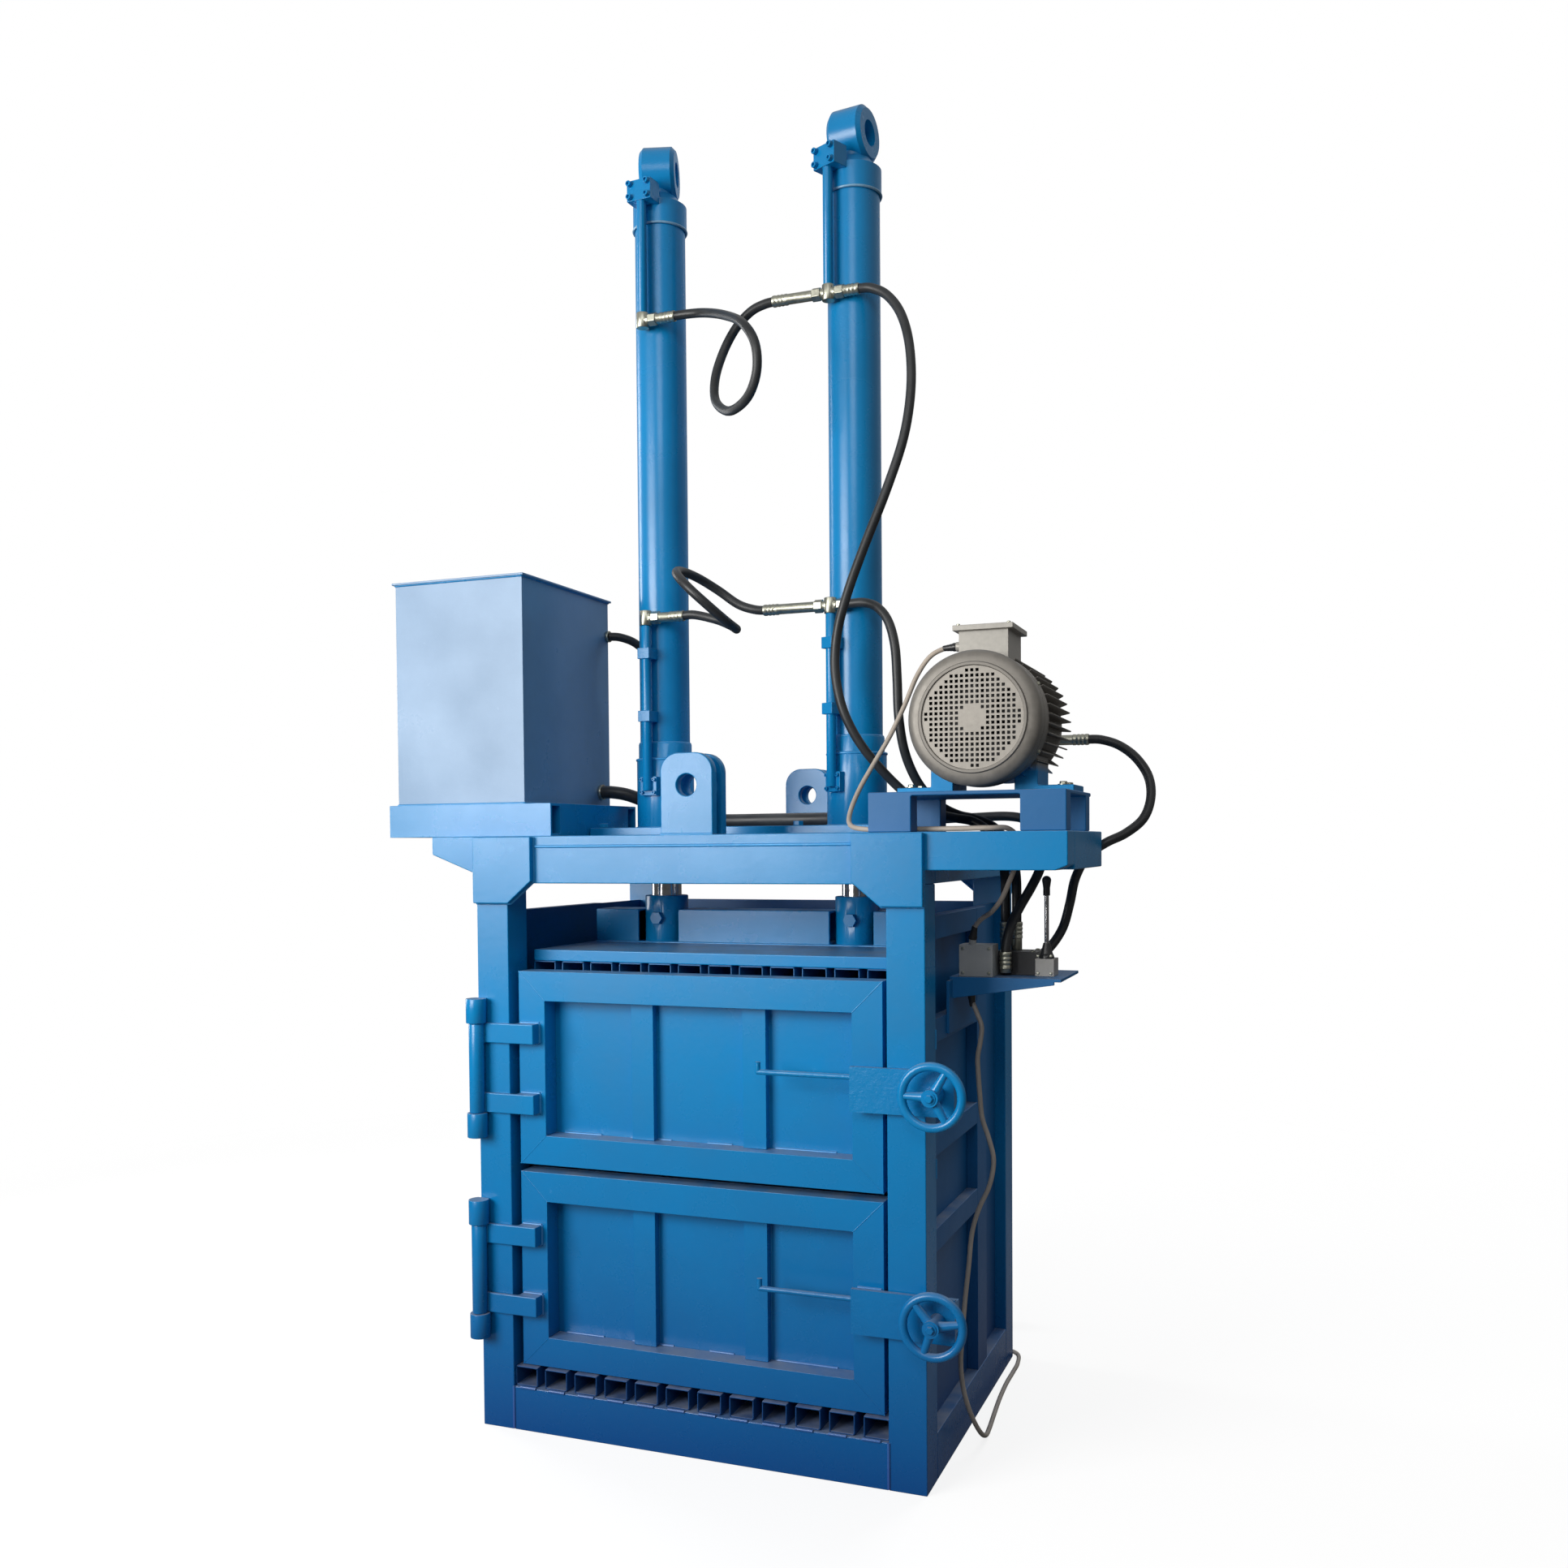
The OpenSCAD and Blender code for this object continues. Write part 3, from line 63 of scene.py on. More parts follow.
# Routes of the hoses and cables, in millimetres, as in the part's source
ROUTES = {
    "upper_link_hose": (
        (-215, -72, 3170), (-175, -72, 3170), (-108, -88, 3159), (-16, -160, 3115), (82, -264, 3045),
        (128, -287, 2978), (130, -280, 2904), (90, -250, 2847), (17, -203, 2832), (-50, -144, 2883),
        (-67, -108, 2961), (-52, -79, 3046), (-17, -66, 3113), (29, -67, 3151), (70, -65, 3166),
        (100, -62, 3170)),
    "upper_feed_hose": (
        (345, -62, 3170), (385, -62, 3166), (435, -72, 3135), (480, -90, 3070), (508, -108, 2975),
        (515, -122, 2855), (497, -133, 2725), (450, -143, 2585), (395, -152, 2450), (347, -158, 2325),
        (316, -160, 2220), (306, -160, 2120), (318, -158, 2030), (342, -152, 1960), (377, -138, 1895),
        (420, -112, 1835), (462, -82, 1785), (508, -60, 1742), (560, -48, 1712), (612, -45, 1698),
        (662, -48, 1688), (710, -58, 1658), (744, -70, 1606), (758, -78, 1540), (760, -80, 1470),
        (760, -80, 1410)),
    "lower_link_hose": (
        (-195, -72, 2300), (-155, -72, 2300), (-85, -71, 2281), (-25, -102, 2255), (24, -185, 2232),
        (28, -259, 2241), (-4, -313, 2279), (-57, -327, 2330), (-108, -291, 2376), (-135, -209, 2401),
        (-119, -132, 2395), (-76, -82, 2364), (-21, -65, 2323), (30, -65, 2304), (65, -62, 2300)),
    "lower_feed_hose": (
        (290, -62, 2300), (325, -63, 2302), (365, -70, 2300), (405, -82, 2282), (440, -96, 2240),
        (462, -108, 2170), (470, -115, 2080), (474, -116, 1980), (484, -102, 1890), (503, -75, 1820),
        (530, -45, 1768), (568, -18, 1730), (615, -5, 1706), (665, -4, 1694), (720, -14, 1667),
        (765, -38, 1612), (785, -64, 1545), (790, -78, 1475), (790, -80, 1410)),
    "pump_hose": (
        (930, 220, 1920), (970, 220, 1918), (1021, 216, 1900), (1070, 199, 1862), (1105, 185, 1808),
        (1113, 166, 1748), (1096, 141, 1692), (1052, 115, 1652), (1001, 95, 1626), (951, 98, 1590),
        (915, 114, 1529), (893, 152, 1457), (873, 152, 1387), (842, 118, 1333), (811, 70, 1309),
        (795, 28, 1303), (790, 0, 1303)),
    "return_hose": (
        (778, -165, 1335), (781, -158, 1375), (791, -138, 1420), (809, -108, 1465), (832, -90, 1510),
        (852, -78, 1556), (860, -62, 1604), (852, -36, 1650), (824, -3, 1682), (778, 36, 1697),
        (720, 78, 1703), (642, 120, 1702), (560, 160, 1700), (480, 179, 1697), (380, 183, 1696),
        (200, 183, 1696), (0, 183, 1696), (-200, 183, 1696), (-330, 184, 1698), (-398, 201, 1725),
        (-437, 219, 1786), (-444, 218, 1872), (-440, 219, 1982), (-435, 220, 2094), (-423, 197, 2175),
        (-436, 176, 2232), (-466, 151, 2266), (-504, 128, 2282), (-535, 112, 2284)),
    "suction_hose": (
        (-535, 60, 1795), (-500, 62, 1794), (-455, 78, 1785), (-400, 112, 1760), (-335, 140, 1728),
        (-260, 147, 1708), (-160, 147, 1703), (0, 147, 1703), (160, 147, 1703), (300, 147, 1703),
        (390, 152, 1712), (460, 170, 1742), (525, 199, 1795), (578, 231, 1862), (618, 257, 1909),
        (640, 270, 1931), (662, 275, 1940)),
    "motor_cable": (
        (650, -170, 2148), (620, -171, 2146), (580, -176, 2126), (545, -182, 2076), (512, -186, 2000),
        (474, -194, 1920), (434, -212, 1846), (404, -248, 1776), (396, -306, 1712), (414, -358, 1677),
        (462, -386, 1666), (530, -390, 1665), (620, -390, 1665), (710, -397, 1665), (787, -397, 1666),
        (829, -365, 1664), (845, -323, 1634), (836, -300, 1582), (815, -290, 1530), (789, -262, 1485),
        (756, -230, 1450), (722, -208, 1428), (702, -195, 1405), (695, -188, 1376)),
    "supply_cable": (
        (690, -185, 1232), (692, -185, 1212), (706, -190, 1180), (720, -196, 1145), (718, -203, 1105),
        (712, -208, 1065), (714, -210, 1020), (718, -210, 965), (724, -210, 905), (742, -210, 850),
        (754, -210, 795), (744, -214, 730), (716, -219, 665), (698, -221, 600), (690, -225, 515),
        (681, -230, 425), (675, -235, 340), (670, -236, 255), (676, -228, 180), (690, -206, 110),
        (704, -165, 50), (706, -105, 16), (700, -30, 7), (692, 60, 7), (682, 180, 7), (676, 300, 7),
        (676, 400, 7), (674, 480, 7), (656, 556, 7), (596, 590, 7), (520, 596, 7), (445, 596, 7)),
}
# Pressure hoses, which end in crimped sleeves
HOSES = ("upper_link_hose", "upper_feed_hose", "lower_link_hose", "lower_feed_hose", "pump_hose",
         "return_hose")
# Cylinders: place of each axis and turn of its pipe and blocks, from the front to the right
CYLINDERS = (((-0.305, 0.0325), -5.0), ((0.305, 0.0325), -25.0))
# Blocks on the pipes: height, reach from the axis, half the bolts' spacing across and up, bolt radius
PIPE_BLOCKS = ((3.545, 0.121, 0.029, 0.019, 0.0085), (1.805, 0.101, 0.021, 0.019, 0.0055))
# Handwheels: turn of the first spoke in degrees
SPOKE_TURNS = {"upper": 60.0, "lower": -11.0}
# Width of a door frame's bars, height of its hinge straps, half height of its lock plate
DOOR_BAR, STRAP_HEIGHT, LOCK_HALF = 0.082, 0.055, 0.049
# Lamps: place, target, width, height, power, colour
WHITE = (1.0, 1.0, 1.0)
LAMPS = {
    "Window light": ((-3.0, -5.2, 2.75), (-0.2, -0.3, 1.9), 3.4, 2.7, 330.0, (1.0, 0.99, 0.97)),
    "Front light": ((1.4, -6.0, 5.0), (0.0, -0.3, 1.2), 2.4, 2.4, 60.0, WHITE),
    "Side light": ((-4.2, 0.9, 2.7), (0.0, 0.0, 2.5), 1.0, 3.4, 70.0, WHITE),
    "Back light": ((1.5, 5.0, 5.2), (0.0, 0.0, 1.5), 3.0, 3.0, 160.0, WHITE),
}


# Settings


def colour_setting(name, description, default):
    return FloatVectorProperty(
        name=name, description=description, subtype="COLOR", default=default, min=0.0, max=1.0)


def size_setting(name, description, default, low, high):
    return FloatProperty(
        name=name, description=description, subtype="DISTANCE", default=default, min=low, max=high)


def angle_setting(name, description, degrees):
    return FloatProperty(name=name, description=description, subtype="ANGLE", default=math.radians(degrees))


class PressFinish(PropertyGroup):
    """Colours of the press"""

    enamel: colour_setting("Enamel", "Blue of the frame, doors and cylinders", (0.0, 0.24, 0.56))
    # Darker copy of the enamel: painted shade on the walls, floor tubes, shelf and other parts that stand in
    # shadow
    shade: colour_setting("Painted shade enamel", "Blue of the walls, floor and shelf", (0.0, 0.13, 0.36))
    # Paler, greyer copy of the enamel: painted haze of glare on the oil tank
    tank: colour_setting("Tank enamel with painted haze", "Greyer blue of the oil tank", (0.13, 0.27, 0.46))
    # Partly the motor's own grey, partly painted shade: darkened to stand for the shade among its fins
    casting: colour_setting("Motor casting", "Silver grey of the motor", (0.255, 0.237, 0.211))
    dust: colour_setting("Dust", "Dust that lies on ledges", (0.30, 0.31, 0.32))


class PressSizes(PropertyGroup):
    """Sizes of the fine pieces"""

    hose: size_setting("Hose diameter", "Outside of the pressure hoses", 0.026, 0.01, 0.04)
    suction: size_setting("Suction hose diameter", "Outside of the suction hose", 0.040, 0.02, 0.06)
    cable: size_setting("Cable diameter", "Outside of the cables", 0.013, 0.006, 0.02)
    edge: size_setting("Edge radius", "Rounding of the rolled and cut edges", 0.003, 0.0005, 0.006)


class PressView(PropertyGroup):
    """Camera of the photograph"""

    place: FloatVectorProperty(
        name="Place", description="Where the camera stands", subtype="TRANSLATION",
        default=(1.567, -3.837, 1.630))
    yaw: angle_setting("Yaw", "Turn of the camera to the left", 21.19)
    pitch: angle_setting("Pitch", "Tilt of the camera upwards", -1.72)
    roll: angle_setting("Roll", "Turn of the picture", -0.45)
    focal: FloatProperty(
        name="Focal length", description="Focal length in pixels of the photograph", default=1736.0)


class PressSettings(PropertyGroup):
    """All settings of the press"""

    finish: PointerProperty(type=PressFinish)
    sizes: PointerProperty(type=PressSizes)
    view: PointerProperty(type=PressView)


def settings():
    return bpy.context.scene.press


# Nodes


def add_node(tree, kind, inputs=(), **properties):
    """New node with its properties and inputs; an input is a plain value or another node's socket."""
    made = tree.nodes.new(kind)
    for label, value in properties.items():
        setattr(made, label, value)
    for label, value in dict(inputs).items():
        if isinstance(value, bpy.types.NodeSocket):
            tree.links.new(value, made.inputs[label])
        else:
            made.inputs[label].default_value = value
    return made


def add_inputs(tree, **defaults):
    """Adds named inputs, each of its default's kind or else of its name's kind; returns their keys."""
    keys = {}
    for name, default in defaults.items():
        kind = {float: "Float", int: "Int", tuple: "Vector"}.get(type(default), name)
        label = name.replace("_", " ")
        made = tree.interface.new_socket(label, in_out="INPUT", socket_type="NodeSocket" + kind)
        if default is not None:
            made.default_value = default
        keys[name] = made.identifier
    return keys


def noise(tree, vector, scale, detail=4.0, rough=0.55):
    return add_node(tree, "ShaderNodeTexNoise", {
        "Vector": vector, "Scale": scale, "Detail": detail, "Roughness": rough}).outputs["Fac"]


def map_range(tree, source, low, high, to_low=0.0, to_high=1.0):
    made = add_node(tree, "ShaderNodeMapRange", {
        "Value": source, "From Min": low, "From Max": high, "To Min": to_low, "To Max": to_high})
    return made.outputs["Result"]


def math_node(tree, what, first, second=0.0):
    return add_node(tree, "ShaderNodeMath", {0: first, 1: second}, operation=what).outputs[0]


def mix_colour(tree, factor, first, second):
    ends = [(*c, 1.0) if isinstance(c, tuple) else c for c in (first, second)]
    return add_node(tree, "ShaderNodeMix", {0: factor, 6: ends[0], 7: ends[1]}, data_type="RGBA").outputs[2]


def axis_of(tree, vector, axis):
    return add_node(tree, "ShaderNodeSeparateXYZ", {0: vector}).outputs[axis]


# Materials


def new_group(name, outputs, **inputs):
    """Empty shader group with its named sockets; returns the tree and its two end nodes."""
    tree = bpy.data.node_groups.new(name, "ShaderNodeTree")
    add_inputs(tree, **inputs)
    for label in outputs:
        tree.interface.new_socket(label, in_out="OUTPUT", socket_type="NodeSocketFloat")
    return tree, tree.nodes.new("NodeGroupInput"), tree.nodes.new("NodeGroupOutput")


@cache
def dust_group():
    """Dust on faces that look up: a mask, in patches."""
    tree, start, end = new_group("Ledge dust", ["Mask"], Vector=(0, 0, 0), Amount=0.6)
    normal = tree.nodes.new("ShaderNodeNewGeometry").outputs["Normal"]
    upward = map_range(tree, axis_of(tree, normal, "Z"), 0.55, 0.95)
    patches = map_range(tree, noise(tree, start.outputs["Vector"], 14.0, 6.0), 0.30, 0.65, 0.25, 1.0)
    mask = math_node(tree, "MULTIPLY", upward, patches)
    tree.links.new(math_node(tree, "MULTIPLY", mask, start.outputs["Amount"]), end.inputs["Mask"])
    return tree


@cache
def enamel_group():
    """Brushed enamel: soft tone patches, fine speckle, scuffs, a mask of painted shade near the floor and an
    uneven height.
    """
    tree, start, end = new_group(
        "Enamel coat", ["Tone", "Speckle", "Scuff", "Depth", "Height"], Vector=(0, 0, 0), Coarse=1.0)
    vector = start.outputs["Vector"]
    tone, speckle, peel, scuff = (noise(tree, vector, *look) for look in (
        (3.2, 6.0, 0.6), (210.0, 3.0, 0.7), (55.0, 4.0, 0.6), (26.0, 8.0, 0.72)))
    height = math_node(tree, "ADD", peel, math_node(tree, "MULTIPLY", speckle, 0.3))
    results = {
        "Tone": map_range(tree, tone, 0.32, 0.68),
        "Speckle": map_range(tree, speckle, 0.62, 0.74),
        "Scuff": map_range(tree, scuff, 0.67, 0.72),
        # Painted shade mask: full at the floor, gone 1.3 m up
        "Depth": map_range(tree, axis_of(tree, vector, "Z"), 0.0, 1.3, 1.0, 0.0),
        "Height": math_node(tree, "MULTIPLY", height, start.outputs["Coarse"]),
    }
    for label, value in results.items():
        tree.links.new(value, end.inputs[label])
    return tree


def add_group(tree, group, vector, **values):
    return add_node(tree, "ShaderNodeGroup", {"Vector": vector, **values}, node_tree=group).outputs


def blank_material(name):
    """Material with one Principled shader; returns it, its tree, the shader and Object coordinates."""
    made = bpy.data.materials.new(name)
    made.use_nodes = True
    tree = made.node_tree
    shader = next(n for n in tree.nodes if n.type == "BSDF_PRINCIPLED")
    return made, tree, shader, tree.nodes.new("ShaderNodeTexCoord").outputs["Object"]


def add_bump(tree, shader, height, strength, distance=0.001):
    bump = add_node(tree, "ShaderNodeBump", {"Strength": strength, "Distance": distance, "Height": height})
    tree.links.new(bump.outputs["Normal"], shader.inputs["Normal"])


def add_dust(tree, shader, vector, base, amount):
    """Gives the shader its colour, with dust on the ledges; returns the dust's mask."""
    mask = add_group(tree, dust_group(), vector, Amount=amount)["Mask"]
    dusty = mix_colour(tree, mask, base, tuple(settings().finish.dust))
    tree.links.new(dusty, shader.inputs["Base Color"])
    return mask


def toned(colour, factor, more=0.0):
    return tuple(min(1.0, c * factor + more) for c in colour)


def enamel(name, colour, rough=0.27, dust=0.55, coarse=1.0, bump=0.22):
    """Brushed enamel on steel: darkened towards the floor as painted shade, scuffed here and there, with dust
    on its ledges.
    """
    made, tree, shader, vector = blank_material(name)
    coat = add_group(tree, enamel_group(), vector, Coarse=coarse)

    def share(source, amount):
        return math_node(tree, "MULTIPLY", source, amount)

    base = mix_colour(tree, coat["Tone"], toned(colour, 0.90), toned(colour, 1.06, 0.002))
    # Painted shade: the colour darkens towards the floor, its green and blue falling most
    low = share(math_node(tree, "POWER", coat["Depth"], 1.6), 0.95)
    deep = mix_colour(tree, low, base, tuple(c * f for c, f in zip(colour, (1.0, 0.22, 0.40))))
    flecked = mix_colour(tree, share(coat["Speckle"], 0.10), deep, toned(colour, 1.3, 0.08))
    scuffed = mix_colour(tree, share(coat["Scuff"], 0.16), flecked, toned(colour, 1.2, 0.16))
    mask = add_dust(tree, shader, vector, scuffed, dust)
    gloss = map_range(tree, coat["Tone"], 0, 1, rough + 0.05, rough - 0.04)
    tree.links.new(math_node(tree, "ADD", gloss, share(mask, 0.4)), shader.inputs["Roughness"])
    add_bump(tree, shader, coat["Height"], bump)
    return made


def metal(name, colour, rough, scale=90.0, bump=0.1, metallic=1.0, dust=0.25, other=None):
    """Bare, plated or painted metal, finely uneven; other is (axis, from, to, colour) of a second tone."""
    made, tree, shader, vector = blank_material(name)
    grain = noise(tree, vector, scale, 5.0)
    base = mix_colour(tree, grain, toned(colour, 0.72), toned(colour, 1.15))
    if other is not None:
        axis, start, stop, second = other
        tinted = mix_colour(tree, grain, toned(second, 0.72), second)
        base = mix_colour(tree, map_range(tree, axis_of(tree, vector, axis), start, stop), base, tinted)
    add_dust(tree, shader, vector, base, dust)
    gloss = map_range(tree, grain, 0.3, 0.7, rough - 0.05, rough + 0.08)
    tree.links.new(gloss, shader.inputs["Roughness"])
    shader.inputs["Metallic"].default_value = metallic
    add_bump(tree, shader, grain, bump, 0.0005)
    return made


def moulded(name, colour, rough):
    """Rubber or plastic with a fine skin."""
    made, tree, shader, vector = blank_material(name)
    skin = noise(tree, vector, 220.0, 3.0)
    haze = noise(tree, vector, 9.0, 5.0)
    base = mix_colour(tree, map_range(tree, haze, 0.35, 0.7), colour, toned(colour, 1.25, 0.015))
    add_dust(tree, shader, vector, base, 0.3)
    gloss = map_range(tree, haze, 0.3, 0.7, rough - 0.05, rough + 0.07)
    tree.links.new(gloss, shader.inputs["Roughness"])
    add_bump(tree, shader, skin, 0.12, 0.0004)
    return made


@cache
def material(name):
    """Finish by its short name, made once."""
    paint = settings().finish
    blue, grey = tuple(paint.enamel), tuple(paint.casting)
    cast = {"scale": 60.0, "bump": 0.25, "metallic": 0.35, "dust": 0.3}
    box = {"scale": 60.0, "bump": 0.2, "metallic": 0.2, "dust": 0.2}
    valve = {"scale": 70.0, "bump": 0.3, "metallic": 0.25, "dust": 0.2}
    polish = {"scale": 40.0, "bump": 0.03, "dust": 0.1}
    painted_highlight_look = {"scale": 120.0, "bump": 0.4, "metallic": 0.1, "dust": 0.2}
    makers = {
        "enamel": lambda: enamel("Azure enamel", blue),
        # Darker copy of the enamel: painted shade
        "shade": lambda: enamel("Painted shade enamel", tuple(paint.shade), rough=0.45, dust=0.5),
        # Paler, greyer copy of the enamel: painted haze
        "tank": lambda: enamel("Tank enamel with painted haze", tuple(paint.tank), rough=0.3),
        "rough_plate": lambda: enamel("Flame-cut plate enamel", blue, coarse=2.4, bump=0.6),
        # Lighter copy of the enamel: painted highlight on the glossy beads
        "bead": lambda: enamel("Weld bead enamel with painted highlight", toned(blue, 1.15, 0.03), rough=0.28, dust=0.3, coarse=1.5),
        # Pale, lightly metallic bead: painted highlight on the collars' lower edge
        "highlighted_bead": lambda: metal("Weld bead with painted highlight", (0.24, 0.46, 0.66), 0.3, **painted_highlight_look),
        # The casting grey is partly the motor's own and partly painted shade of its fins
        "casting": lambda: metal("Fan cover paint", grey, 0.46, **cast),
        "grille": lambda: metal("Grille paint", toned(grey, 1.5), 0.42, scale=60.0, bump=0.2, metallic=0.3),
        "motor": lambda: metal("Motor casting paint", grey, 0.46, **cast, other=("Z", 1.83, 1.81, blue)),
        "pale_casting": lambda: metal("Terminal box paint", (0.45, 0.43, 0.39), 0.4, **box),
        "valve": lambda: metal("Valve casting", (0.035, 0.035, 0.038), 0.45, **valve,
                               other=("X", 0.853, 0.857, (0.42, 0.41, 0.39))),
        "steel": lambda: metal("Zinc steel", (0.52, 0.52, 0.43), 0.36),
        "chrome": lambda: metal("Hard chrome", (0.72, 0.72, 0.73), 0.14, **polish),
        "rubber": lambda: moulded("Hose rubber", (0.018, 0.020, 0.022), 0.42),
        "sheath": lambda: moulded("Cable sheath", (0.30, 0.27, 0.24), 0.5),
        "beige": lambda: moulded("Motor cable sheath", (0.42, 0.36, 0.30), 0.5),
        "black": lambda: moulded("Black plastic", (0.020, 0.020, 0.022), 0.35),
        "box": lambda: moulded("Switch box plastic", (0.34, 0.35, 0.35), 0.45),
    }
    return makers[name]()


# Mesh helpers


def add_piece(name, mesh, look, body, slot, *replaced):
    """Links a mesh as a piece that rides on a body; without a look it keeps the finish it was grown with."""
    made = bpy.data.objects.new(name, mesh)
    bpy.context.scene.collection.objects.link(made)
    if look is not None:
        mesh.materials.append(material(look))
    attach(made, body)
    if replaced:
        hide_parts(*replaced)


def smooth_path(points, steps=6):
    """Points on a smooth curve through a route, in metres."""
    route = [Vector(p) * MM for p in points]
    last = len(route) - 1

    def slope(i):
        return (route[min(i + 1, last)] - route[max(i - 1, 0)]) / 2

    path = []
    for i in range(last):
        for k in range(steps):
            t = k / steps
            path.append(
                (2 * t**3 - 3 * t**2 + 1) * route[i] + (t**3 - 2 * t**2 + t) * slope(i)
                + (3 * t**2 - 2 * t**3) * route[i + 1] + (t**3 - t**2) * slope(i + 1))
    return path + [route[last]]


def ease(value, start, stop):
    """Smooth step from 0 at start to 1 at stop."""
    t = min(1.0, max(0.0, (value - start) / (stop - start)))
    return t * t * (3 - 2 * t)


def poly_curve(name, lines):
    """Curve object with one straight-pointed spline for each list of points."""
    data = bpy.data.curves.new(name, "CURVE")
    data.dimensions = "3D"
    for points in lines:
        spline = data.splines.new("POLY")
        spline.points.add(len(points) - 1)
        for point, place in zip(spline.points, points):
            point.co = (*place, 1.0)
    return bpy.data.objects.new(name, data)


def lay_cord(name, nodes, path, across, look, slot, **behaviour):
    """Round cord as one open spline, in place of its CAD nodes."""
    made = poly_curve(name, [path])
    made.data.bevel_depth = across / 2
    made.data.bevel_resolution = 5
    made.data.use_fill_caps = True
    made.data.materials.append(material(look))
    bpy.context.scene.collection.objects.link(made)
    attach(made, "frame")
    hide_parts(*nodes)


# Geometry Nodes


def geometry_tree(name, **inputs):
    """Empty tree with geometry in and out and named inputs; returns it, its start node and input keys."""
    tree = bpy.data.node_groups.new(name, "GeometryNodeTree")
    keys = add_inputs(tree, Geometry=None, **inputs, Material=None)
    tree.interface.new_socket("Geometry", in_out="OUTPUT", socket_type="NodeSocketGeometry")
    return tree, tree.nodes.new("NodeGroupInput"), keys


def close_tree(tree, start, geometry):
    """Ends a tree in plain geometry with its material."""
    real = add_node(tree, "GeometryNodeRealizeInstances", {"Geometry": geometry})
    painted = add_node(tree, "GeometryNodeSetMaterial",
                       {"Geometry": real.outputs["Geometry"], "Material": start.outputs["Material"]})
    end = tree.nodes.new("NodeGroupOutput")
    tree.links.new(painted.outputs["Geometry"], end.inputs["Geometry"])


def grown(made_by, source, look, **values):
    """Plain mesh that a tree makes of a source object, which is then removed."""
    tree, keys = made_by()
    bpy.context.scene.collection.objects.link(source)
    modifier = source.modifiers.new("Grown", "NODES")
    modifier.node_group = tree
    for name, value in {**values, "Material": material(look)}.items():
        modifier[keys[name]] = value
    graph = bpy.context.evaluated_depsgraph_get()
    mesh = bpy.data.meshes.new_from_object(source.evaluated_get(graph), depsgraph=graph)
    bpy.data.objects.remove(source)
    return mesh


@cache
def bead_tree():
    """Weld bead along each line: a round section whose size ripples and wanders."""
    tree, start, keys = geometry_tree("Weld bead", Radius=0.004, Ripple=0.007)
    line = add_node(tree, "GeometryNodeResampleCurve",
                    {"Curve": start.outputs["Geometry"], "Length": 0.0028}, mode="LENGTH")
    run = tree.nodes.new("GeometryNodeSplineParameter").outputs["Length"]
    turns = math_node(tree, "DIVIDE", math_node(tree, "MULTIPLY", run, 2 * math.pi), start.outputs["Ripple"])
    wave = math_node(tree, "MULTIPLY", math_node(tree, "SINE", turns), 0.20)
    wander = add_node(tree, "ShaderNodeTexNoise", {"Scale": 38.0, "Detail": 2.0}).outputs[0]
    size = math_node(tree, "ADD", math_node(tree, "ADD", wave, 0.55), wander)
    sized = add_node(tree, "GeometryNodeSetCurveRadius", {"Curve": line.outputs["Curve"], "Radius": size})
    ring = add_node(tree, "GeometryNodeCurvePrimitiveCircle", {
        "Resolution": 8, "Radius": start.outputs["Radius"]})
    bead = add_node(tree, "GeometryNodeCurveToMesh", {
        "Curve": sized.outputs["Curve"], "Profile Curve": ring.outputs["Curve"], "Fill Caps": True})
    soft = add_node(tree, "GeometryNodeSetShadeSmooth", {"Geometry": bead.outputs["Mesh"]})
    close_tree(tree, start, soft.outputs["Geometry"])
    return tree, keys


@cache
def stud_tree():
    """Copies of one piece on points, each turned along its point's aim and as large as its point's size."""
    tree, start, keys = geometry_tree("Pieces on points", Object=None)
    piece = add_node(tree, "GeometryNodeObjectInfo", {"Object": start.outputs["Object"]})
    aim = add_node(tree, "GeometryNodeInputNamedAttribute", {"Name": "aim"}, data_type="FLOAT_VECTOR")
    size = add_node(tree, "GeometryNodeInputNamedAttribute", {"Name": "size"}, data_type="FLOAT")
    turn = add_node(tree, "FunctionNodeAlignRotationToVector", {"Vector": aim.outputs[0]}, axis="Z")
    placed = add_node(tree, "GeometryNodeInstanceOnPoints", {
        "Points": start.outputs["Geometry"], "Instance": piece.outputs["Geometry"],
        "Rotation": turn.outputs["Rotation"], "Scale": size.outputs[0]})
    close_tree(tree, start, placed.outputs["Instances"])
    return tree, keys


